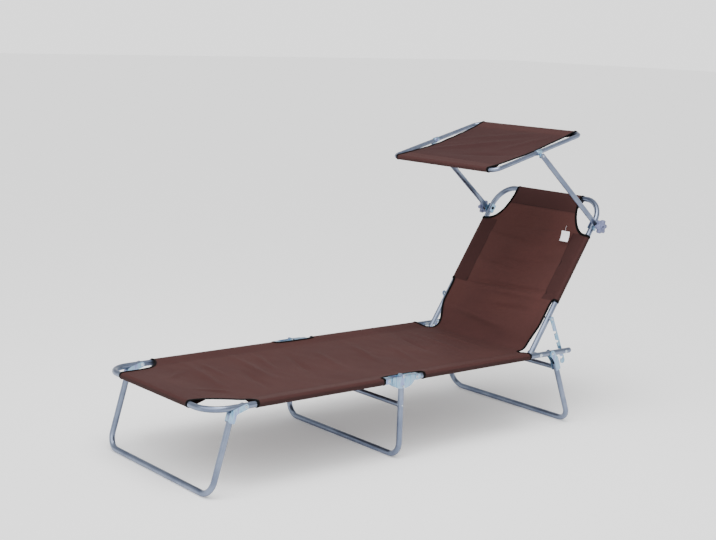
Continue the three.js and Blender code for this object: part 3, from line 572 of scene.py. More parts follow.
for name in SIDE_NAMES.values():
    arm_bm = bmesh.new()
    loft(arm_bm, arm_rings(arm_bm, name))
    fit(arm_bm, f"canopy_arm_oval_{name}", silver, "canopy_arms", f"canopy_arm_{name}")

# The bed cloth is one long sheet of brown oxford polyester. Its long edges and both ends are folded round the
# tubes and sewn back as wide sleeves, and black tape binds it where it is cut away for the hinges and bends.
# It is made as two pieces that meet in mid seat, because each bends at one joint.
CLOTH_THICKNESS = 0.001
SLEEVE_RADIUS = 0.0104
HEM_WIDTH = 0.060
HEM_KNOTS = (0, 0.004, 0.010, 0.018, 0.028, 0.040, 0.050, 0.056, 0.060, 0.064, 0.072)
MIDDLE_KNOTS = 34
ROW_STEP = 0.005
CUT_STEPS = 18
HEM_DROP = 0.0065
HEM_SHORT = 0.003
HEM_UNDER = 0.0035
SLEEVE_TURN = math.radians(195)
SLEEVE_STEP = 0.3
HEM_SHARES = 0.25, 0.5, 0.75, 1.0
STITCH_TOP = 0.002
STITCH_UNDER = 0.004
NO_SEAM = 1.0
CREASE_MARGIN = 0.05
SEAT_HEM_SHADE = 0.35
HEM_SHADE_LENGTH = 0.2
BED_SAG = 0.0035
END_EASE = 0.16
FOOT_CORNER_LENGTH = 0.155
FOOT_CORNER_DEPTH = 0.095
HINGE_CUT_START = -0.068
HINGE_CUT_END = 0.082
HINGE_CUT_DEPTH = 0.0135
HINGE_CUT_CURVE = 0.35
PIECES_MEET = 0.215
SEAT_SLEEVE_END = -0.044
CREASE_BEND = 0.032
CREASE_HALF = 0.215
CREASE_CURVE = 0.8
CREASE_STEP = 0.006
WIDENING_START = 0.015
WIDENING_LENGTH = 0.090
SHOULDER_LENGTH = 0.022
BACK_NARROWING = 0.14
BACK_EDGE_HALF = 0.2375
BACK_SLEEVE_START = 0.189
BACK_SLEEVE_END = 0.440
BACK_TOP_HALF = 0.152
CLOTH_BROWN = 0x3F2422
CLOTH_DEEP = 0x371F1E
# Painted shade: doubled cloth is drawn darker, as less light comes through it.
DOUBLE_CLOTH_PAINTED_SHADE = 0x371F1E
# Painted shade on the sides and undersides of sleeves, which the lounger's own shade darkens.
SLEEVE_UNDERSIDE_PAINTED_SHADE = 0x2B1817
# Painted light: the back's single layer is drawn paler, as if lit by light shining through it.
BACK_LIT_BROWN = 0x4B2C29
BACK_LIT_DEEP = 0x412624
BACK_LIGHT_THROUGH_LENGTH = 0.16
SLEEVE_SIDE_SHADE = 2.0
STITCH_BROWN = 0x1C100F
THREAD_SPACING = 0.0009
STITCH_LENGTH = 0.0042
STITCH_WIDTH = 0.0011
STITCH_SHARE = 0.72
STITCH_RELIEF = 2.5
CLOTH_FADING = {"Scale": 5.0, "Detail": 4.0, "Roughness": 0.55}
CLOTH_SLUBS = 60, 900, 1
CLOTH_BLOTCHES = 0.7, 1.3
CLOTH_RELIEF = 0.35
CLOTH_SURFACE = {
    "Roughness": 0.78, "Specular IOR Level": 0.15, "Sheen Weight": 0.06, "Sheen Roughness": 0.45,
    "Sheen Tint": linear(0xA98C84),
}
CLOTH_SHARP = math.radians(70)
HINGE_BEND_INSET = 0.026
HINGE_BEND_END = 0.040
CREASE_BEND_START = -0.035
CREASE_BEND_END = 0.05

recline = math.atan2(back_along.z, back_along.x)
crease_x = back_pivot.x - SLEEVE_RADIUS * math.tan(recline / 2)
crease_setback = CREASE_BEND * math.tan(recline / 2)
cloth_z = rail_z + SLEEVE_RADIUS
bend_start = crease_x - crease_setback - foot_end_x
bend_end = bend_start + CREASE_BEND * recline
crease_reach = back_pivot.x - crease_x + crease_setback
bed_length = bend_end + BACK_LENGTH - crease_reach
back_front = Vector((-back_along.z, 0, back_along.x))
hinge_x = joint["foot_fold"].x


def brown_oxford(name, deep, brown):
    """Woven polyester oxford: matt, fuzzy at grazing angles, painted shade where double, painted light up the
    back.
    """
    cloth, tree = new_material(name)
    place = add_node(tree, "ShaderNodeTexCoord")
    flat = add_node(tree, "ShaderNodeSeparateXYZ", {"Vector": place.outputs["UV"]})
    fading = add_node(tree, "ShaderNodeTexNoise", {"Vector": place.outputs["Object"], **CLOTH_FADING})
    slub = add_node(tree, "ShaderNodeMapping", {"Vector": place.outputs["UV"], "Scale": CLOTH_SLUBS})
    slubs = add_node(tree, "ShaderNodeTexNoise", {"Vector": slub.outputs["Vector"], "Scale": 1.0})
    # This attribute is painted shade: on doubled cloth, and deeper on the sides and undersides of sleeves.
    layers = add_node(tree, "ShaderNodeAttribute", attribute_name="hem_and_sleeve_painted_shade").outputs["Fac"]
    seam = add_node(tree, "ShaderNodeAttribute", attribute_name="seam_distance").outputs["Fac"]
    made = {
        "along": flat.outputs["X"], "across": flat.outputs["Y"], "seam": seam,
        "fading": fading.outputs["Fac"], "slubs": slubs.outputs["Fac"],
    }
    for result, operation, *sources in (
        ("warp", "MULTIPLY", "along", math.pi / THREAD_SPACING),
        ("warp wave", "SINE", "warp"),
        ("weft", "MULTIPLY", "across", math.pi / THREAD_SPACING),
        ("weft wave", "SINE", "weft"),
        ("weave", "MULTIPLY", "warp wave", "weft wave"),
        ("blotch", "ADD", "fading", "slubs"),
        ("off the seam", "ABSOLUTE", "seam"),
        ("on the seam", "LESS_THAN", "off the seam", STITCH_WIDTH / 2),
        ("count", "MULTIPLY", "along", 1 / STITCH_LENGTH),
        ("part", "FRACT", "count"),
        ("thread shows", "LESS_THAN", "part", STITCH_SHARE),
        ("stitch", "MULTIPLY", "on the seam", "thread shows"),
        ("relief", "MULTIPLY_ADD", "stitch", STITCH_RELIEF, "weave"),
    ):
        inputs = {i: made.get(source, source) for i, source in enumerate(sources)}
        made[result] = add_node(tree, "ShaderNodeMath", inputs, operation=operation).outputs[0]
    depth, on_back, painted_underside_shade = (
        add_node(tree, "ShaderNodeMapRange", {"Value": value, "From Min": low, "From Max": high}).outputs[0]
        for value, low, high in (
            (made["blotch"], *CLOTH_BLOTCHES), (made["along"], bend_start, bend_start + BACK_LIGHT_THROUGH_LENGTH),
            (layers, 1.0, SLEEVE_SIDE_SHADE),
        )
    )
    # The second pair of tones is a lit copy of the cloth, painted light shining through the back.
    tones = []
    for low, high in ((deep, brown), (BACK_LIT_DEEP, BACK_LIT_BROWN)):
        inputs = {"Factor": depth, 6: linear(low), 7: linear(high)}
        tones.append(add_node(tree, "ShaderNodeMix", inputs, data_type="RGBA").outputs[2])
    colour, shone_through = tones
    for share, over in (
        (on_back, shone_through), (layers, linear(DOUBLE_CLOTH_PAINTED_SHADE)), (painted_underside_shade, linear(SLEEVE_UNDERSIDE_PAINTED_SHADE)),
        (made["stitch"], linear(STITCH_BROWN)),
    ):
        inputs = {"Factor": share, 6: colour, 7: over}
        colour = add_node(tree, "ShaderNodeMix", inputs, data_type="RGBA").outputs[2]
    bump = add_node(tree, "ShaderNodeBump", {
        "Height": made["relief"], "Strength": CLOTH_RELIEF, "Distance": THREAD_SPACING / 8,
    })
    shader = add_node(tree, "ShaderNodeBsdfPrincipled", {
        "Base Color": colour, "Normal": bump.outputs["Normal"], **CLOTH_SURFACE,
    })
    add_node(tree, "ShaderNodeOutputMaterial", {"Surface": shader.outputs["BSDF"]})
    return cloth


def steps_between(start, end, step):
    """Places from start to end, both included, about a step apart."""
    count = max(round(abs(end - start) / step), 1)
    return [start + (end - start) * i / count for i in range(count + 1)]


def across_places(half):
    """Knots across a sheet: close together at its hems and even between them."""
    edge = [half - knot for knot in HEM_KNOTS]
    middle = [edge[-1] * (1 - 2 * i / MIDDLE_KNOTS) for i in range(1, MIDDLE_KNOTS)]
    return [-y for y in edge] + [-y for y in middle] + edge[::-1]


def shaped_grid(bm, rows, columns, knot):
    """A grid of cloth. knot(row, column) gives a place, its flat place, its painted shade and the way to the
    seam.
    """
    flat = bm.loops.layers.uv.verify()
    floats = bm.verts.layers.float
    layers, seam = (floats.get(name) or floats.new(name) for name in ("hem_and_sleeve_painted_shade", "seam_distance"))
    made = bmesh.ops.create_grid(bm, x_segments=rows - 1, y_segments=columns - 1, size=1)["verts"]
    cut = {}
    for vert in made:
        row = round((vert.co.x + 1) / 2 * (rows - 1))
        column = round((vert.co.y + 1) / 2 * (columns - 1))
        vert.co, cut[vert], vert[layers], vert[seam] = knot(row, column)
    for face in {face for vert in made for face in vert.link_faces}:
        for loop in face.loops:
            loop[flat].uv = cut[loop.vert]


def sleeve_section(radius, hem, rise):
    """Places round a tube, from its top over its outer side to the seam below: out and up from its centre."""
    turns = steps_between(0, SLEEVE_TURN, SLEEVE_STEP)
    places = [(radius * math.sin(turn), radius * math.cos(turn)) for turn in turns]
    out, up = places[-1]
    for share in HEM_SHARES:
        places.append((out + (-hem - out) * share, up + (rise - up) * share))
    return places


def lengths_along(places):
    """The distance along a line of 2-D places to each of them."""
    total = [0.0]
    for (a, b), (c, d) in zip(places, places[1:]):
        total.append(total[-1] + math.hypot(c - a, d - b))
    return total


def at_seat(x):
    """How far along the sheet a place on the seat lies."""
    return x - foot_end_x


def at_back(along):
    """How far along the sheet a place on the back lies, given its distance from the back's pivot."""
    return bend_end + along - crease_reach


def bed_line(along):
    """The place, the heading and the normal of the sheet's middle, before it sags."""
    if along <= bend_start:
        return Vector((foot_end_x + along, 0, cloth_z)), Vector((1, 0, 0)), UP
    turn = min((along - bend_start) / CREASE_BEND, recline)
    heading = Vector((math.cos(turn), 0, math.sin(turn)))
    normal = Vector((-heading.z, 0, heading.x))
    centre = Vector((foot_end_x + bend_start, 0, cloth_z + CREASE_BEND))
    return centre - normal * CREASE_BEND + heading * max(along - bend_end, 0.0), heading, normal


def tube_half(along):
    """Half the spacing of the tubes that carry the sheet there."""
    past_seat = along - at_seat(back_pivot.x + SEAT_SLEEVE_END)
    return rail_y + (back_y - rail_y) * ease(past_seat / BACK_NARROWING)


# Fine ripples everywhere: height, number per metre along and across, and seed.
# Long soft creases, one by one: along, across, heading in degrees, length, width, height.
RIPPLES = (0.0018, 9, 5, 0.3), (0.0008, 34, 14, 2.7)
BED_FOLDS = (
    (0.20, 0.04, 78, 0.38, 0.014, 0.0052),
    (0.26, 0.10, 84, 0.24, 0.010, 0.0036),
    (0.31, -0.05, 76, 0.34, 0.012, -0.0044),
    (0.38, 0.06, 80, 0.38, 0.013, 0.0050),
    (0.45, 0.10, 74, 0.30, 0.010, 0.0046),
    (0.53, 0.02, 72, 0.38, 0.012, -0.0046),
    (0.64, 0.02, 76, 0.34, 0.014, 0.0042),
    (0.80, 0.05, 74, 0.38, 0.013, 0.0046),
    (0.90, -0.03, 72, 0.36, 0.012, 0.0040),
    (1.02, 0.04, 76, 0.40, 0.013, -0.0048),
    (1.10, 0.00, 82, 0.42, 0.014, 0.0046),
    (1.19, 0.02, 86, 0.40, 0.010, 0.0036),
    (0.13, -0.10, 140, 0.16, 0.009, 0.0040),
    (0.13, 0.10, 40, 0.16, 0.009, 0.0040),
    (1.33, 0.05, 84, 0.42, 0.013, 0.0090),
    (1.385, -0.04, 95, 0.40, 0.012, -0.0085),
    (1.440, 0.00, 92, 0.60, 0.013, 0.0085),
    (1.462, 0.00, 92, 0.60, 0.007, -0.0085),
    (1.52, 0.05, 86, 0.42, 0.016, 0.0080),
    (1.575, -0.05, 94, 0.40, 0.014, -0.0070),
    (1.63, 0.06, 86, 0.40, 0.014, 0.0075),
    (1.68, -0.04, 92, 0.36, 0.012, 0.0062),
    (1.745, 0.00, 90, 0.46, 0.006, -0.0056),
)


def wrinkle(along, across, folds):
    """How far the creases lift the cloth at a flat place."""
    lift = sum(rise * noise.noise(Vector((along * a, across * b, seed))) for rise, a, b, seed in RIPPLES)
    for at, side, heading, length, width, height in folds:
        turn = math.radians(heading)
        u, v = along - at, across - side
        run = (u * math.cos(turn) + v * math.sin(turn)) / length
        off = (v * math.cos(turn) - u * math.sin(turn)) / width
        if abs(run) < 0.5 and abs(off) < 3:
            lift += height * math.cos(math.pi * run) ** 2 * math.exp(-off * off)
    return lift


def hem_shade(along):
    """How much darker the double cloth looks: most on the back, where light comes through a single layer."""
    return SEAT_HEM_SHADE + (1 - SEAT_HEM_SHADE) * ease((along - bend_start) / HEM_SHADE_LENGTH)


def sleeve_shade(along, up):
    """The same on a sleeve, whose side and underside take a deeper brown than its top, as painted shade."""
    return hem_shade(along) + (SLEEVE_SIDE_SHADE - hem_shade(along)) * ease(1 - up / SLEEVE_RADIUS)


def bed_knot(along, across):
    """The place of the bed cloth at a flat place, sagging between its tubes."""
    place, _, normal = bed_line(along)
    half = tube_half(along)
    inset = half - abs(across)
    ends = ease(along / END_EASE) * ease((bed_length - along) / END_EASE)
    drop = HEM_DROP * ease(inset / HEM_WIDTH) + BED_SAG * max(1 - (across / half) ** 2, 0)
    free = ends * ease(inset / CREASE_MARGIN)
    return place + ACROSS * across + normal * (wrinkle(along, across, BED_FOLDS) * free - drop * ends)


def corner_rows(start, length, outer, depth, outward):
    """Rows of a concave corner cut, a quarter of an ellipse: along and half width."""
    rows = []
    for i in range(CUT_STEPS + 1):
        turn = math.pi / 2 * i / CUT_STEPS
        if outward:
            rows.append((start + length * math.sin(turn), outer - depth * math.cos(turn)))
        else:
            rows.append((start - length * math.cos(turn), outer - depth * math.sin(turn)))
    return rows


def hinge_rows():
    """Rows of the shallow cut that leaves the hinge plates bare."""
    middle = at_seat(hinge_x + (HINGE_CUT_START + HINGE_CUT_END) / 2)
    reach = (HINGE_CUT_END - HINGE_CUT_START) / 2
    rows = []
    for i in range(1, 2 * CUT_STEPS):
        turn = math.pi * i / (2 * CUT_STEPS)
        depth = HINGE_CUT_DEPTH * math.sin(turn) ** HINGE_CUT_CURVE
        rows.append((middle - reach * math.cos(turn), rail_y - depth))
    return rows


def crease_rows():
    """Rows of the long cut from the seat's sleeves, over the crease, to the back's sleeves."""
    rows = []
    start = at_seat(back_pivot.x + SEAT_SLEEVE_END)
    for i in range(1, CUT_STEPS):
        turn = math.pi / 2 * i / CUT_STEPS
        along = start + (bend_start - start) * (1 - math.cos(turn))
        rows.append((along, rail_y - (rail_y - CREASE_HALF) * math.sin(turn) ** CREASE_CURVE))
    top = at_back(BACK_SLEEVE_START)
    shoulder = top - SHOULDER_LENGTH
    for along in steps_between(bend_start, shoulder, CREASE_STEP):
        widening = ease((along - at_back(WIDENING_START)) / WIDENING_LENGTH)
        rows.append((along, CREASE_HALF + (BACK_EDGE_HALF - CREASE_HALF) * widening))
    return rows + corner_rows(shoulder, top - shoulder, back_y, back_y - BACK_EDGE_HALF, True)[1:-1]


def straight_rows(start, end, half):
    """Rows of a straight edge: along and half width."""
    return [(along, half) for along in steps_between(start, end, ROW_STEP)]


def rail_sleeve(bm, rows, side):
    """The hem along one side, folded round the tube from the panel's edge to the seam underneath."""
    section = sleeve_section(SLEEVE_RADIUS, HEM_WIDTH - HEM_SHORT, SLEEVE_RADIUS - HEM_DROP - HEM_UNDER)
    around = lengths_along(section)

    def knot(row, column):
        along, half = rows[row]
        out, up = section[column]
        place, _, normal = bed_line(along)
        place = place + ACROSS * side * (half + out) + normal * (up - SLEEVE_RADIUS)
        flat = (along, side * (half + around[column]))
        return place, flat, sleeve_shade(along, up), HEM_WIDTH - around[column] - STITCH_UNDER

    shaped_grid(bm, len(rows), len(section), knot)


def bar_sleeve(bm, row, outward):
    """The hem at one end, folded round the end bar."""
    along, half = row
    section = sleeve_section(SLEEVE_RADIUS, HEM_WIDTH - HEM_SHORT, SLEEVE_RADIUS - HEM_UNDER)
    around = lengths_along(section)
    across = across_places(half)
    start, heading, normal = bed_line(along)

    def knot(row, column):
        out, up = section[row]
        place = start + ACROSS * across[column] + heading * outward * out + normal * (up - SLEEVE_RADIUS)
        flat = (along + outward * around[row], across[column])
        return place, flat, sleeve_shade(along, up), HEM_WIDTH - around[row] - STITCH_UNDER

    shaped_grid(bm, len(section), len(across), knot)


def panel(bm, rows, wrapped, end, outward):
    """The sheet itself. wrapped lists the stretches of rows with sleeves, and end is the end bar's row."""

    def knot(row, column):
        along, half = rows[row]
        across = across_places(half)[column]
        inset = half - abs(across)
        held = any(first <= row <= last for first, last in wrapped)
        to_end = min(along, bed_length - along)
        hem = (held and inset < HEM_WIDTH + CLOTH_THICKNESS / 2) or to_end < HEM_WIDTH
        seam = HEM_WIDTH - STITCH_TOP - inset if held else NO_SEAM
        if abs(HEM_WIDTH - STITCH_TOP - to_end) < abs(seam):
            seam = HEM_WIDTH - STITCH_TOP - to_end
        return bed_knot(along, across), (along, across), hem * hem_shade(along), seam

    shaped_grid(bm, len(rows), len(across_places(rows[0][1])), knot)
    for first, last in wrapped:
        for side in (LEFT, RIGHT):
            rail_sleeve(bm, rows[first:last + 1], side)
    bar_sleeve(bm, rows[end], outward)


def finish_sheet(bm, name, finish):
    """Turns a sheet's outer side up, gives it the cloth's thickness and makes it an object."""
    bmesh.ops.remove_doubles(bm, verts=bm.verts, dist=MERGE_DISTANCE)
    bmesh.ops.recalc_face_normals(bm, faces=bm.faces)
    if sum(face.normal.z * face.calc_area() for face in bm.faces) < 0:
        bmesh.ops.reverse_faces(bm, faces=bm.faces)
    bmesh.ops.solidify(bm, geom=bm.faces[:], thickness=CLOTH_THICKNESS)
    return settle(bm, name, finish, CLOTH_SHARP)


foot_corner = corner_rows(0, FOOT_CORNER_LENGTH, rail_y, FOOT_CORNER_DEPTH, True)
foot_rails = straight_rows(FOOT_CORNER_LENGTH, at_seat(hinge_x + HINGE_CUT_START), rail_y)
seat_front = straight_rows(at_seat(hinge_x + HINGE_CUT_END), at_seat(hinge_x + PIECES_MEET), rail_y)
seat_rear = straight_rows(at_seat(hinge_x + PIECES_MEET), at_seat(back_pivot.x + SEAT_SLEEVE_END), rail_y)
back_rails = straight_rows(at_back(BACK_SLEEVE_START), at_back(BACK_SLEEVE_END), back_y)
top_corner = corner_rows(bed_length, BACK_LENGTH - BACK_SLEEVE_END, back_y, back_y - BACK_TOP_HALF, False)
foot_bend = (
    "foot_frame", "seat_frame", Vector((hinge_x + HINGE_CUT_START + HINGE_BEND_INSET, 0, cloth_z)),
    Vector((hinge_x + HINGE_BEND_END, 0, cloth_z)),
)
back_bend = (
    "seat_frame", "back_frame", back_pivot + Vector((CREASE_BEND_START, 0, SLEEVE_RADIUS)),
    back_pivot + back_along * CREASE_BEND_END + back_front * SLEEVE_RADIUS,
)
# Real threads lie closer than the 0.9 mm drawn here, which is as coarse as the weave needs to show
brown = brown_oxford("brown_oxford_cloth", CLOTH_DEEP, CLOTH_BROWN), "brown_cloth"
halves = []
for word, stretches, at_end, outward, nodes, bend in (
    ("foot_half", (foot_corner[:-1], foot_rails, hinge_rows(), seat_front), 0, -1,
     ("foot_fabric", "hinge_fabric"), foot_bend),
    ("back_half", (seat_rear, crease_rows(), back_rails, top_corner[1:]), -1, 1,
     ("seat_fabric", "crease_fabric", "back_fabric"), back_bend),
):
    sheet_rows, wraps = [], []
    for stretch in stretches:
        if stretch in (foot_rails, seat_front, seat_rear, back_rails):
            wraps.append((len(sheet_rows), len(sheet_rows) + len(stretch) - 1))
        sheet_rows += stretch
    sheet_bm = bmesh.new()
    panel(sheet_bm, sheet_rows, wraps, at_end, outward)
    cloth = finish_sheet(sheet_bm, f"bed_cloth_{word}", brown)
    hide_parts(*nodes)
    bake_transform(cloth, *bend)
    halves.append((word, sheet_rows, wraps, outward, bend, cloth))

# Black ribbed polyester tape, 9 mm wide once folded, is sewn over every cut edge of the bed cloth.
# It also binds the mouths of the sleeves, where it is pulled in tight round the tube.
TAPE_WIDTH = 0.009
TAPE_THICKNESS = 0.0034
TAPE_SIDES = 10
TAPE_LIFT = 0.0005
TAPE_PULL = 0.0014
TAPE_TURN = 0.25
TAPE_RIB = 0.0012
RIBBED_TAPE = {
    "tones": ((0, 0x030303), (1, 0x0A090A)), "cloud": {"Scale": 1 / TAPE_RIB, "Detail": 2.0},
    "relief": (0.5, TAPE_THICKNESS / 8), "surface": {"Roughness": 0.6, "Specular IOR Level": 0.06},
}

# Woven polyester: black, with a dull sheen on its ribs, which are drawn coarser than real ones to show
binding = mottled("black_ribbed_binding_tape", **RIBBED_TAPE), "black_plastic"


def round_sleeve(start, side_axis, up_axis, mouth):
    """Places and outward directions round a sleeve's mouth, from the top of the tube to the seam below."""
    centre = start - up_axis * mouth
    path = []
    for turn in steps_between(0, SLEEVE_TURN, TAPE_TURN):
        ray = side_axis * math.sin(turn) + up_axis * math.cos(turn)
        path.append((centre + ray * (mouth - TAPE_PULL * ease(2 * turn / math.pi)), ray))
    return path


def sleeve_mouth(row, side, outward):
    """A sleeve's mouth at a row: the side sleeve's, or the end bar's where outward isn't 0."""
    along, half = row
    place, heading, normal = bed_line(along)
    return round_sleeve(
        place + ACROSS * side * half, heading * outward if outward else ACROSS * side, normal, SLEEVE_RADIUS,
    )


def tape_rings(bm, path, side):
    """Draws flat rings along an edge, with the tape's width laid inwards over the cloth."""
    for i, (place, normal) in enumerate(path):
        heading = (path[min(i + 1, len(path) - 1)][0] - path[max(i - 1, 0)][0]).normalized()
        inward = heading.cross(normal).normalized() * side
        axes = Matrix((inward * TAPE_WIDTH / 2, normal * TAPE_THICKNESS / 2, heading)).transposed().to_4x4()
        centre = place + inward * (TAPE_WIDTH / 2 - TAPE_THICKNESS / 2) + normal * TAPE_LIFT
        stand = Matrix.Translation(centre) @ axes
        yield edges_of(bmesh.ops.create_circle(bm, segments=TAPE_SIDES, radius=1, matrix=stand)["verts"])


bed_tapes = []
for word, sheet_rows, wraps, outward, bend, _ in halves:
    tape_bm = bmesh.new()
    bare = [0, *wraps[0], *wraps[1], len(sheet_rows) - 1]
    end_row = 0 if outward < 0 else len(sheet_rows) - 1
    for side in (LEFT, RIGHT):
        for first, last in zip(bare[::2], bare[1::2]):
            if first == last:
                continue
            starts, ends = (
                sleeve_mouth(sheet_rows[row], side, outward if row == end_row else 0) for row in (first, last)
            )
            bound = sheet_rows[first:last + 1]
            edge = [(bed_knot(along, side * half), bed_line(along)[2]) for along, half in bound]
            loft(tape_bm, tape_rings(tape_bm, starts[:0:-1] + edge + ends[1:], side))
    tape = settle(tape_bm, f"binding_tape_{word}", binding)
    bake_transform(tape, *bend)
    bed_tapes.append(tape)

# The canopy's cloth is one more sheet of the oxford, folded round the front and rear bars and sewn back 45 mm
# under itself. It hangs slack between them, and black tape binds its free edges.
CANOPY_SLEEVE = 0.0084
# The canopy's browns are a shaded copy of the oxford: painted shade, darker than the bed cloth.
CANOPY_SHADED_BROWN = 0x341D1D
CANOPY_SHADED_DEEP = 0x2E1919
CANOPY_HEM = 0.045
CANOPY_SAG = 0.0115
CANOPY_CLOTH_HALF = 0.220
CANOPY_WAIST = 0.008
CANOPY_COLUMNS = 48
CANOPY_ROW_STEP = 0.008
CANOPY_TAPE_STEP = 0.010
CANOPY_HEM_SAG = 0.4
CANOPY_HEM_UNDER = 0.0032
CANOPY_EASE = 8
CANOPY_FOLDS = (
    (0.20, 0.05, 122, 0.46, 0.014, 0.0066),
    (0.13, -0.08, 108, 0.34, 0.011, -0.0046),
    (0.30, 0.02, 112, 0.40, 0.012, 0.0046),
    (0.26, -0.12, 150, 0.26, 0.011, 0.0040),
    (0.045, 0.0, 90, 0.60, 0.004, -0.0024),
    (0.355, 0.0, 90, 0.60, 0.004, -0.0024),
)

canopy_length = CANOPY_FRONT + CANOPY_REAR


def canopy_path():
    """Places round the sheet: along from the front bar, up from the bars, and the painted shade where it is
    double.
    """
    seam_height = CANOPY_SLEEVE - CANOPY_SAG * CANOPY_HEM_SAG - CANOPY_HEM_UNDER
    under = sleeve_section(CANOPY_SLEEVE, CANOPY_HEM, seam_height)
    path = [(-out, up, 1.0) for out, up in under[::-1]]
    for along in steps_between(0, canopy_length, CANOPY_ROW_STEP)[1:-1]:
        double = along < CANOPY_HEM or along > canopy_length - CANOPY_HEM
        path.append((along, CANOPY_SLEEVE, float(double)))
    return path + [(canopy_length + out, up, 1.0) for out, up in under]


canopy_places = canopy_path()
canopy_runs = lengths_along([(along, up) for along, up, _ in canopy_places])


def canopy_knot(along, up, across, top):
    """A place of the canopy cloth: only its top layer sags and creases."""
    share = along / canopy_length
    edge = CANOPY_CLOTH_HALF - CANOPY_WAIST * math.sin(math.pi * min(max(share, 0), 1))
    drop = CANOPY_SAG * max(4 * share * (1 - share), 0) if top else 0.0
    front, rear = ease(CANOPY_EASE * share), ease(CANOPY_EASE * (1 - share))
    lift = wrinkle(along, across * edge, CANOPY_FOLDS) * front * rear if top else 0.0
    return canopy_front + canopy_along * along + canopy_up * (up - drop + lift) + ACROSS * across * edge


def canopy_cell(row, column):
    """What shaped_grid needs for one knot of the canopy's cloth."""
    along, up, double = canopy_places[row]
    across = 2 * column / CANOPY_COLUMNS - 1
    top = up == CANOPY_SLEEVE
    seam = CANOPY_HEM - STITCH_UNDER - min(along, canopy_length - along) if top else NO_SEAM
    return canopy_knot(along, up, across, top), (canopy_runs[row], across * CANOPY_CLOTH_HALF), double, seam


sheet_bm = bmesh.new()
shaped_grid(sheet_bm, len(canopy_places), CANOPY_COLUMNS + 1, canopy_cell)
canopy_brown = brown_oxford("shaded_brown_oxford_canopy_cloth", CANOPY_SHADED_DEEP, CANOPY_SHADED_BROWN), "brown_cloth"
canopy_cloth = finish_sheet(sheet_bm, "canopy_cloth", canopy_brown)
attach(canopy_cloth, "canopy_frame")
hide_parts("canopy_fabric")

tape_bm = bmesh.new()
for side in (LEFT, RIGHT):
    free = [
        (canopy_knot(along, CANOPY_SLEEVE, side, True), canopy_up)
        for along in steps_between(0, canopy_length, CANOPY_TAPE_STEP)
    ]
    front_mouth = round_sleeve(free[0][0], -canopy_along, canopy_up, CANOPY_SLEEVE)
    rear_mouth = round_sleeve(free[-1][0], canopy_along, canopy_up, CANOPY_SLEEVE)
    loft(tape_bm, tape_rings(tape_bm, front_mouth[:0:-1] + free + rear_mouth[1:], side))
canopy_tape = fit(tape_bm, "binding_tape_canopy", binding, "canopy_frame")

# A small blank tag of white uncoated card hangs from the back's top seam on a thin white thread. It is curled
# a little and stands off the cloth. Card is matt, and its fibres are drawn coarse enough to show.
TAG_WIDTH = 0.036
TAG_HEIGHT = 0.035
TAG_THICKNESS = 0.0006
TAG_CORNER = 0.0012
TAG_PLACE = 0.418, -0.168
TAG_LIFT = 0.014
TAG_LEAN = math.radians(76)
TAG_CURL = 0.002
HOLE_INSET = 0.003
THREAD_RADIUS = 0.0003
THREAD_BEND = 0.02
THREAD_BOW = 0.003
KNOT_PLACE = 0.462, -0.142
KNOT_LIFT = 0.0008
CARD_FIBRE = 0.001
WHITE_CARD = {
    "tones": ((0, 0xF1F0F8), (1, 0xFCFBFF)), "cloud": {"Scale": 1 / CARD_FIBRE, "Detail": 3.0},
    "surface": {"Roughness": 0.7},
}


def on_back(along, across, lift):
    """A place above the back's cloth."""
    return bed_knot(at_back(along), across) + back_front * lift


card = mottled("white_uncoated_card", **WHITE_CARD), "brown_cloth"
tag_bm = bmesh.new()
bmesh.ops.create_grid(tag_bm, x_segments=8, y_segments=6, size=1)
bmesh.ops.scale(tag_bm, vec=(TAG_HEIGHT / 2, TAG_WIDTH / 2, 1), verts=tag_bm.verts)
for vert in tag_bm.verts:
    vert.co.z = TAG_CURL * (2 * vert.co.x / TAG_HEIGHT) ** 2
bmesh.ops.bevel(
    tag_bm, geom=[v for v in tag_bm.verts if len(v.link_faces) == 1], offset=TAG_CORNER, affect="VERTICES",
    segments=2, profile=0.5, material=-1,
)
bmesh.ops.solidify(tag_bm, geom=tag_bm.faces[:], thickness=TAG_THICKNESS)
tag_axes = Matrix.Rotation(-TAG_LEAN, 4, "Y")
tag_place = on_back(*TAG_PLACE, TAG_LIFT)
bmesh.ops.transform(tag_bm, matrix=Matrix.Translation(tag_place) @ tag_axes, verts=tag_bm.verts)
fit(tag_bm, "blank_hang_tag", card, "back_frame")
hole = tag_place + tag_axes @ Vector((TAG_HEIGHT / 2 - HOLE_INSET, 0, TAG_CURL))
knot_place = on_back(*KNOT_PLACE, KNOT_LIFT)
thread_path = [hole, (hole + knot_place) / 2 + back_front * THREAD_BOW, knot_place]
fit(bent_tube(thread_path, THREAD_BEND, THREAD_RADIUS), "tag_thread", card, "back_frame")

# The middle hinge on each side: a D-shaped channel on the seat rail, with a tab over the rail and an ear for
# the hinge pin, and a strap on the foot rail, all pressed from 1.5 mm sheet. A thick eye in the foot rail's
# end turns on the pin. Everything is bright zinc plated.
SHEET_STEEL = 0.0015
FLANGE_OUTER = 0.0108
ROUND_STEPS = 10
FOLD_RADIUS = 0.0026
FOLD_STEPS = 4
PLATE_EDGE = 0.0003
BURR_ANGLE = math.radians(50)
FLAT_ANGLE = math.radians(1)
BOWL_REACH = 0.044
BOWL_DEPTH = 0.027
BOWL_SIDES = 96
TAB_END = 0.0678
TAB_START = 0.010
TAB_RADIUS = 0.0088
TAB_RISE = 0.002
TAB_INSET = 0.0004
EAR_RADIUS = 0.0065
LIP_RADIUS = 0.0011
LIP_SIDES = 12
STRAP_START = -0.0677
STRAP_END = -0.046
STRAP_DEPTH = 0.007
STRAP_ROUND = 0.003
STREAK_SPACING = 0.004
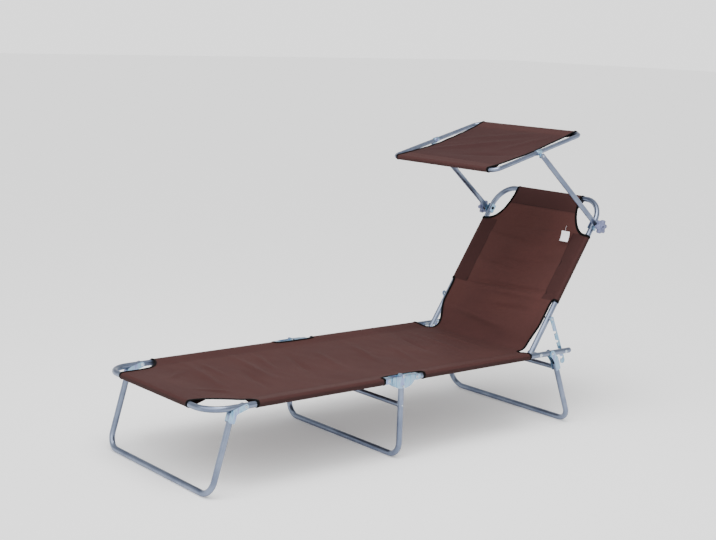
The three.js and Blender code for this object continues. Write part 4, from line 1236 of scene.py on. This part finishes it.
ZINC_PLATE = {
    "tones": ((0.36, 0x6692B3), (0.62, 0x8790BA), (0.5, 0x92B4C9)),
    "cloud": {"Scale": 0.4, "Detail": 3.0, "Roughness": 0.6},
    "stretch": (1 / STREAK_SPACING, 1 / STREAK_SPACING, 0.18 / STREAK_SPACING),
    "gloss": (0.22, 0.42), "relief": (0.25, PLATE_EDGE), "surface": {"Metallic": 0.85},
}
FACE_ON = 0.9


def rounded_face(bm, corners):
    """A flat face drawn in x and z, whose corners each have their own rounding."""
    verts = [bm.verts.new((x, 0, z)) for x, z, _ in corners]
    bm.faces.new(verts)
    for vert, (_, _, rounding) in zip(verts, corners):
        if rounding:
            bmesh.ops.bevel(
                bm, geom=[vert], offset=rounding, affect="VERTICES", segments=ROUND_STEPS, profile=0.5,
                material=-1,
            )


def drawn_across(bm, faces, inner, outer):
    """Moves faces to one distance from the middle and draws them out to another."""
    verts = {vert for face in faces for vert in face.verts}
    bmesh.ops.translate(bm, verts=list(verts), vec=ACROSS * inner)
    made = bmesh.ops.extrude_face_region(bm, geom=faces)["geom"]
    moved = [g for g in made if isinstance(g, bmesh.types.BMVert)]
    bmesh.ops.translate(bm, verts=moved, vec=ACROSS * (outer - inner))


def soften(bm, edge=PLATE_EDGE):
    """Takes the burr off every sharp edge."""
    bmesh.ops.remove_doubles(bm, verts=bm.verts, dist=MERGE_DISTANCE)
    bmesh.ops.recalc_face_normals(bm, faces=bm.faces)
    sharp = [e for e in bm.edges if e.is_manifold and e.calc_face_angle(0.0) > BURR_ANGLE]
    bmesh.ops.bevel(bm, geom=sharp, offset=edge, affect="EDGES", segments=2, profile=0.5, material=-1)


def flat_plate(corners, inner, outer):
    """A flat plate between two distances from the middle."""
    bm = bmesh.new()
    rounded_face(bm, corners)
    drawn_across(bm, bm.faces[:], inner, outer)
    soften(bm)
    return bm


def channel(corners, inner, outer, is_web):
    """Two flanges of one outline, joined by folds to the stretch of rim that is_web picks by its centre."""
    bm = bmesh.new()
    rounded_face(bm, corners)
    drawn_across(bm, bm.faces[:], inner, outer)
    flanges = [face for face in bm.faces if abs(face.normal.y) > FACE_ON]
    rim = [face for face in bm.faces if abs(face.normal.y) < FACE_ON]
    web = [face for face in rim if is_web(face.calc_center_median())]
    bmesh.ops.delete(bm, geom=[face for face in rim if face not in web], context="FACES")
    folds = [e for e in bm.edges if len({f in flanges for f in e.link_faces}) == 2]
    bmesh.ops.bevel(
        bm, geom=folds, offset=FOLD_RADIUS, affect="EDGES", segments=FOLD_STEPS, profile=0.5, material=-1,
    )
    bmesh.ops.recalc_face_normals(bm, faces=bm.faces)
    middle = (inner + outer) / 2
    if sum((f.calc_center_median().y - middle) * f.normal.y * f.calc_area() for f in bm.faces) < 0:
        bmesh.ops.reverse_faces(bm, faces=bm.faces)
    bmesh.ops.solidify(bm, geom=bm.faces[:], thickness=SHEET_STEEL)
    return bm


def merged(bm, *others):
    """Adds whole bmeshes to one, as shapes pressed or moulded in one piece."""
    for other in others:
        copy = bpy.data.meshes.new("part")
        other.to_mesh(copy)
        other.free()
        bm.from_mesh(copy)
        bpy.data.meshes.remove(copy)
    return bm


def placed(bm, matrix, side):
    """Turns and moves a piece drawn on the right, and mirrors it for the left."""
    bmesh.ops.transform(bm, matrix=matrix @ Matrix.Diagonal((1, side, 1, 1)), verts=bm.verts)
    return bm


def hinge_plate():
    """The D channel, its tab, its ear and the rolled lip along the D's top, with x from the hinge pin."""
    inner, outer = rail_y - FLANGE_OUTER, rail_y + FLANGE_OUTER
    top = rail_z + FLANGE_OUTER
    pieces = []
    for low, high in ((inner, inner + SHEET_STEEL), (outer - SHEET_STEEL, outer)):
        bowl = bmesh.new()
        upright = facing(ACROSS, Vector())
        bmesh.ops.create_circle(bowl, cap_ends=True, segments=BOWL_SIDES, radius=1, matrix=upright)
        bmesh.ops.scale(bowl, vec=(BOWL_REACH, 1, BOWL_DEPTH), verts=bowl.verts)
        whole = bowl.verts[:] + bowl.edges[:] + bowl.faces[:]
        bmesh.ops.bisect_plane(bowl, geom=whole, plane_co=(0, 0, 0), plane_no=UP, clear_outer=True)
        brim = [e for e in bowl.edges if all(abs(v.co.z) < PLATE_EDGE for v in e.verts)]
        extrude_run(bowl, brim, UP * FLANGE_OUTER)
        bmesh.ops.translate(bowl, verts=bowl.verts, vec=UP * rail_z)
        drawn_across(bowl, bowl.faces[:], low, high)
        soften(bowl)
        lip = bmesh.new()
        bmesh.ops.create_cone(
            lip, cap_ends=True, segments=LIP_SIDES, radius1=LIP_RADIUS, radius2=LIP_RADIUS,
            depth=2 * BOWL_REACH, matrix=facing(ALONG, Vector((0, (low + high) / 2, top - LIP_RADIUS / 2))),
        )
        ear = [
            (-EAR_RADIUS, rail_z, 0), (-EAR_RADIUS, hinge_z + EAR_RADIUS, EAR_RADIUS),
            (EAR_RADIUS, hinge_z + EAR_RADIUS, EAR_RADIUS), (EAR_RADIUS, rail_z, 0),
        ]
        pieces += [bowl, lip, flat_plate(ear, low + TAB_INSET / 2, high - TAB_INSET / 2)]
    low = rail_z + TAB_RISE - TAB_RADIUS
    tab = [(TAB_START, top, 0), (TAB_END, top, TAB_RADIUS), (TAB_END, low, TAB_RADIUS), (TAB_START, low, 0)]
    saddle = channel(tab, inner + TAB_INSET, outer - TAB_INSET, lambda centre: centre.z > top - PLATE_EDGE)
    return merged(bmesh.new(), *pieces, saddle)


def hinge_strap():
    """The saddle on the foot rail."""
    low, top = rail_z - STRAP_DEPTH, rail_z + FLANGE_OUTER
    corners = [
        (STRAP_START, top, 0), (STRAP_END, top, 0),
        (STRAP_END, low, STRAP_ROUND), (STRAP_START, low, STRAP_ROUND),
    ]
    inner, outer = rail_y - FLANGE_OUTER, rail_y + FLANGE_OUTER
    return channel(corners, inner, outer, lambda centre: centre.z > top - PLATE_EDGE)


def fitting_copy(node):
    """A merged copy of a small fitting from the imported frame, with its flat faces made whole."""
    bm = bmesh.new()
    bm.from_mesh(frame["nodes"][node].data)
    bmesh.ops.remove_doubles(bm, verts=bm.verts, dist=MERGE_DISTANCE)
    bmesh.ops.dissolve_limit(bm, angle_limit=FLAT_ANGLE, verts=bm.verts, edges=bm.edges)
    return bm


# Bright zinc electroplate: pale blue with lilac streaks, and a soft mirror that the streaks dull
zinc = mottled("blue_bright_zinc_plate", **ZINC_PLATE), "zinc_plate"
hinge_z = joint["foot_fold"].z
at_hinge = Matrix.Translation(Vector((hinge_x, 0, 0)))
for side, name in SIDE_NAMES.items():
    plate, strap = placed(hinge_plate(), at_hinge, side), placed(hinge_strap(), at_hinge, side)
    fit(plate, f"hinge_channel_{name}", zinc, "seat_frame", f"hinge_plate_{name}")
    fit(strap, f"hinge_saddle_{name}", zinc, "foot_frame", f"foot_hinge_strap_{name}")
    eye = fitting_copy(f"foot_hinge_eye_{name}")
    fit(eye, f"hinge_eye_{name}", zinc, "foot_frame", f"foot_hinge_eye_{name}")

# The front and rear legs hang in zinc-plated channels: a round lobe at the pivot, an elbow, and a sleeve
# whose web closes the outer side of the leg. Corners give x and height from the pivot along the leg, and
# their rounding.
FRONT_BRACKET = (
    (0.0027, 0.0117, 0.0085), (0.0117, -0.0027, 0.0085), (-0.0242, -0.0252, 0.005),
    (-0.0242, -0.052, 0.003), (-0.0458, -0.052, 0.008), (-0.0458, -0.0188, 0.011),
)
REAR_BRACKET = (
    (-0.0129, 0.0058, 0.010), (0.0058, 0.0129, 0.010), (0.0222, -0.0303, 0.010),
    (0.0222, -0.066, 0.006), (0.0006, -0.066, 0.003), (0.0006, -0.0297, 0.006),
)
WEB_SIDE_SHARE = 0.9


def leg_bracket(corners, offset):
    """A channel whose web is the stretch of rim furthest out."""
    outer = sorted((x for x, _, _ in corners), key=lambda x: x * offset)[-1]
    web_x = offset + (outer - offset) * WEB_SIDE_SHARE
    return channel(
        corners, rail_y - FLANGE_OUTER, rail_y + FLANGE_OUTER,
        lambda centre: (centre.x - web_x) * offset > 0,
    )


for word, corners, offset, pivot, lean in (
    ("front", FRONT_BRACKET, FRONT_OFFSET, front_pivot, FRONT_LEAN),
    ("rear", REAR_BRACKET, REAR_OFFSET, rear_pivot, REAR_LEAN),
):
    at_leg = Matrix.Translation(pivot) @ Matrix.Rotation(lean, 4, "Y")
    for side, name in SIDE_NAMES.items():
        bracket = placed(leg_bracket(corners, offset), at_leg, side)
        fit(bracket, f"{word}_leg_channel_{name}", zinc, f"{word}_leg", f"{word}_leg_bracket_{name}")

# The recline struts are 2.5 mm zinc-plated bars with four leaning notches and a hooked end.
# The arm clamps sit on the back tube and the canopy clamps on the side tubes of the canopy's frame.
CLAMP_EDGE = 0.0004
for name in SIDE_NAMES.values():
    for word, node, body in (
        ("notched_strut", f"recline_strut_{name}", f"strut_{name}"),
        ("arm_saddle", f"arm_clamp_{name}", "back_frame"),
        ("canopy_saddle", f"canopy_clamp_{name}", "canopy_frame"),
    ):
        fitting = fitting_copy(node)
        soften(fitting, CLAMP_EDGE)
        fit(fitting, f"{word}_{name}", zinc, body, node)

# Rivets and bolts of bright zinc-plated steel. A tubular rivet has a flat head inside and a rolled ring with
# a dark centre outside; a bolt has a plain dome and, where it crosses a gap, a spacing collar.
TURNED_SIDES = 40
RIVET_SHAFT = 0.003
HEAD_HEIGHT = 0.0016
HEAD_EDGE = 0.0004
DOME_SHARES = (1.0, 0.0), (0.97, 0.45), (0.86, 0.75), (0.62, 0.93), (0.3, 1.0), (0.0, 1.0)
RING_SHARES = (
    (1.0, 0.0), (0.98, 0.5), (0.84, 0.9), (0.66, 1.0), (0.5, 0.85), (0.42, 0.35), (0.38, 0.0), (0.0, -0.1),
)
BACK_BOLT_SHAFT = 0.0035
BACK_COLLAR = 0.0065
STRUT_COLLAR = 0.005
SMALL_BOLT_SHAFT = 0.0025
GAP = 0.0003
TURNING_SPACING = 0.0005
TURNED_STEEL = {
    "cloud": {"Scale": 1 / TURNING_SPACING, "Detail": 4.0}, "gloss": (0.18, 0.34),
    "surface": {"Metallic": 0.95},
}
STEEL_TONES = (0.3, 0x8C95A3), (0.6, 0xC2CCD8)


def turned(profile, axis, place):
    """Spins a profile of radius and distance round an axis."""
    bm = bmesh.new()
    verts = [bm.verts.new(facing(axis, place) @ Vector((radius, 0, out))) for radius, out in profile]
    edges = [bm.edges.new(pair) for pair in zip(verts, verts[1:])]
    bmesh.ops.spin(
        bm, geom=verts + edges, cent=place, axis=axis, angle=math.tau, steps=TURNED_SIDES, use_merge=True,
    )
    return bm


def pin(node, shaft=RIVET_SHAFT, head_shares=RING_SHARES, collar=None, inner_head=True):
    """The profile of a pin between the ends of its node, with its distances taken out from the middle."""
    low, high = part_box(node)
    start, end = sorted((abs(low.y), abs(high.y)))
    head = (high.z - low.z) / 2
    profile = [(0, start), (shaft, start)]
    if inner_head:
        profile = [(0, start), (head - HEAD_EDGE, start), (head, start + HEAD_EDGE)]
        profile += [(head, start + HEAD_HEIGHT), (shaft, start + HEAD_HEIGHT)]
    if collar:
        radius, near, far = collar
        profile += [(shaft, near), (radius, near), (radius, far), (shaft, far)]
    base = end - HEAD_HEIGHT
    profile.append((shaft, base))
    profile += [(head * wide, base + HEAD_HEIGHT * rise) for wide, rise in head_shares]
    side = math.copysign(1, low.y)
    place = Vector(((low.x + high.x) / 2, 0, (low.z + high.z) / 2))
    return turned(profile, ACROSS * side, place)


# Turned and rolled steel, plated bright: smooth, with cloudy wear that is drawn coarse enough to show
steel = mottled("bright_zinc_rivet_steel", STEEL_TONES, **TURNED_STEEL), "steel_rivet"
back_outer = back_y + TUBE_RADIUS
rail_inner = rail_y - TUBE_RADIUS
for name in SIDE_NAMES.values():
    strut_inner = min(abs(v.y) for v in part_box(f"recline_strut_{name}"))
    back_collar = BACK_COLLAR, back_outer + GAP, rail_inner - GAP
    strut_collar = STRUT_COLLAR, back_outer + GAP, strut_inner - GAP
    for word, body, *make in (
        ("hinge_plate_rivet", "seat_frame"),
        ("foot_pivot", "seat_frame"),
        ("middle_leg_pivot", "seat_frame"),
        ("rear_leg_pivot", "seat_frame"),
        ("hinge_strap_rivet", "foot_frame"),
        ("front_leg_pivot", "foot_frame"),
        ("back_pivot_bolt", "seat_frame", BACK_BOLT_SHAFT, DOME_SHARES, back_collar),
        ("ratchet_pin", "seat_frame", BACK_BOLT_SHAFT, DOME_SHARES, None, False),
        ("strut_bolt", "back_frame", RIVET_SHAFT, DOME_SHARES, strut_collar),
        ("upper_pivot", "canopy_frame", SMALL_BOLT_SHAFT),
    ):
        node = f"{word}_{name}"
        fit(pin(node, *make), f"{word}_turned_{name}", steel, body, node)

# A small blind rivet of the same bright steel shows as a low dome on the outside of the middle leg.
# It sits where the crossbar meets the leg.
BAR_RIVET_RADIUS = 0.0032
BAR_RIVET_HEIGHT = 0.0013
for side, name in SIDE_NAMES.items():
    place = Vector((middle_pivot.x, side * (rail_y + TUBE_RADIUS - BAR_RIVET_HEIGHT), MIDDLE_BAR_HEIGHT))
    profile = [(0, 0), (BAR_RIVET_RADIUS, 0)]
    profile += [(BAR_RIVET_RADIUS * wide, BAR_RIVET_HEIGHT * (1 + rise)) for wide, rise in DOME_SHARES]
    fit(turned(profile, ACROSS * side, place), f"crossbar_rivet_{name}", steel, "middle_leg")

# A star knob moulded in blue-grey nylon clamps each canopy arm on its bolt: six round lobes, a raised hub and
# an open bore in which the bolt's end shows, painted dark as shade. A ribbed black washer spaces it from the
# arm.
LOBE_RADIUS = 0.0065
LOBE_CENTRE = 0.0175
VALLEY_CENTRE = 0.02105
LOBE_HALF_TURN = math.radians(86.03)
VALLEY_HALF_TURN = math.radians(56.03)
LOBES = 6
LOBE_STEPS = 14
VALLEY_STEPS = 8
KNOB_THICKNESS = 0.014
KNOB_EDGE = 0.0022
KNOB_EDGE_STEPS = 5
KNOB_EDGE_ANGLE = math.radians(80)
OUTLINE_MERGE = 0.00005
KNOB_BORE = 0.0036
HUB_SHARES = (
    (0.40, -1.2), (0.40, 0.86), (0.44, 1.0), (0.90, 1.0), (0.98, 0.93), (1.0, 0.8), (1.0, 0.08), (1.1, -0.06),
    (0.40, -1.2),
)
HUB_RADIUS = 0.009
HUB_RISE = 0.003
WASHER_RIBS = 3
WASHER_BORE = 0.0033
WASHER_GROOVE = 0.0007
RIB_SHARES = 0.15, 0.75
KNOB_BOLT_RADIUS = 0.0055
BOLT_TIP_SHARES = (RIVET_SHAFT / KNOB_BOLT_RADIUS, 0.0), (0.45, 0.6), (0.3, 1.0), (0, 1.0)
# Painted shade: the knob's bolt is drawn nearly black, as the shade deep in the knob's bore.
BOLT_BORE_SHADE_TONES = (0.3, 0x0B0B0D), (0.6, 0x16171A)
MOULD_GRAIN = 0.0005
MOULDED = {
    "cloud": {"Scale": 60.0, "Detail": 2.0}, "fine": {"Scale": 1 / MOULD_GRAIN, "Detail": 2.0},
    "relief": (0.15, MOULD_GRAIN / 8),
}
KNOB_TONES = (0.35, 0x585E7C), (0.65, 0x6A7092)
WASHER_TONES = (0.35, 0x17171A), (0.65, 0x17171A)
KNOB_SURFACE = {"Roughness": 0.48}
WASHER_SURFACE = {"Roughness": 0.55}


def star_knob():
    """Lobes and valleys spun one after the other, joined to the bore and drawn to the knob's thickness."""
    bm = bmesh.new()
    first_turn = Matrix.Rotation(-LOBE_HALF_TURN, 3, "Z")
    tip = bm.verts.new(Vector((LOBE_CENTRE, 0, 0)) + first_turn @ Vector((LOBE_RADIUS, 0, 0)))
    for i in range(LOBES):
        turn = Matrix.Rotation(math.tau * i / LOBES, 3, "Z")
        half_step = Matrix.Rotation(math.tau * (i + 0.5) / LOBES, 3, "Z")
        for centre, angle, steps in (
            (turn @ Vector((LOBE_CENTRE, 0, 0)), 2 * LOBE_HALF_TURN, LOBE_STEPS),
            (half_step @ Vector((VALLEY_CENTRE, 0, 0)), -2 * VALLEY_HALF_TURN, VALLEY_STEPS),
        ):
            spun = bmesh.ops.spin(bm, geom=[tip], cent=centre, axis=UP, angle=angle, steps=steps)
            tip = next(g for g in spun["geom_last"] if isinstance(g, bmesh.types.BMVert))
    bmesh.ops.remove_doubles(bm, verts=bm.verts, dist=OUTLINE_MERGE)
    rim = bm.edges[:]
    made = bmesh.ops.create_circle(bm, segments=len(rim), radius=KNOB_BORE)["verts"]
    bmesh.ops.bridge_loops(bm, edges=rim + edges_of(made))
    drawn = bmesh.ops.extrude_face_region(bm, geom=bm.faces[:])["geom"]
    lifted = [g for g in drawn if isinstance(g, bmesh.types.BMVert)]
    bmesh.ops.translate(bm, verts=lifted, vec=UP * KNOB_THICKNESS)
    bmesh.ops.recalc_face_normals(bm, faces=bm.faces)
    rims = [
        e for e in bm.edges
        if e.calc_face_angle(0.0) > KNOB_EDGE_ANGLE and e.verts[0].co.to_2d().length > HUB_RADIUS
    ]
    bmesh.ops.bevel(
        bm, geom=rims, offset=KNOB_EDGE, affect="EDGES", segments=KNOB_EDGE_STEPS, profile=0.5, material=-1,
    )
    return bm


def knob_hub():
    """The raised ring round the bore."""
    return turned([(HUB_RADIUS * w, KNOB_THICKNESS + HUB_RISE * up) for w, up in HUB_SHARES], UP, Vector())


def ribbed_washer(start, end, radius):
    """A spacer with shallow grooves round it."""
    profile = [(WASHER_BORE, start), (radius - WASHER_GROOVE, start)]
    pitch = (end - start) / WASHER_RIBS
    for i in range(WASHER_RIBS):
        low = start + pitch * i
        profile += [(radius, low + pitch * share) for share in RIB_SHARES]
        profile.append((radius - WASHER_GROOVE, low + pitch))
    return profile + [(WASHER_BORE, end), (WASHER_BORE, start)]


# Injection-moulded nylon: matt with a soft sheen, and cloudy where the melt flowed. The real grain is finer
# than the 0.5 mm drawn here, and would not show.
knob_grey = mottled("blue_grey_nylon", KNOB_TONES, surface=KNOB_SURFACE, **MOULDED), "grey_plastic"
washer_black = mottled("black_nylon", WASHER_TONES, surface=WASHER_SURFACE, **MOULDED), "black_plastic"
# Turned steel painted nearly black as the shade deep in the knob's bore: half glossy, with the same cloudy
# wear
bore_shade_steel = mottled("bolt_steel_painted_bore_shade", BOLT_BORE_SHADE_TONES, **TURNED_STEEL), "steel_rivet"
for side, name in SIDE_NAMES.items():
    out = ACROSS * side
    seat_y = min(abs(v.y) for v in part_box(f"star_knob_{name}"))
    knob = merged(star_knob(), knob_hub())
    bmesh.ops.transform(knob, matrix=facing(out, arm_pivot + out * seat_y), verts=knob.verts)
    fit(knob, f"star_knob_moulded_{name}", knob_grey, f"knob_{name}", f"star_knob_{name}")
    low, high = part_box(f"arm_spacer_{name}")
    start, end = sorted((abs(low.y), abs(high.y)))
    washer = turned(ribbed_washer(start, end, (high.z - low.z) / 2), out, arm_pivot)
    fit(washer, f"ribbed_washer_{name}", washer_black, "canopy_arms", f"arm_spacer_{name}")
    bolt = pin(f"knob_bolt_{name}", RIVET_SHAFT, BOLT_TIP_SHARES)
    fit(bolt, f"knob_bolt_turned_{name}", bore_shade_steel, "canopy_arms", f"knob_bolt_{name}")

# The flat cloth that each bed half is cut from is measured from its rows.
# The bed's halves carry a sleeve's allowance on both sides and at both ends, and the canopy only at its ends.
# The sleeves of a bed half take about 0.12 square metres more than its panel.
SLEEVES_AREA = 0.12
side_tubes = ["seat_rail_left", "seat_rail_right"]
carriers = ["foot_tube", *side_tubes], [*side_tubes, "back_tube"]
for (_, rows, *_, cloth), tape, tubes in zip(halves, bed_tapes, carriers):
    area = sum((b[0] - a[0]) * (a[1] + b[1]) for a, b in zip(rows, rows[1:])) + SLEEVES_AREA
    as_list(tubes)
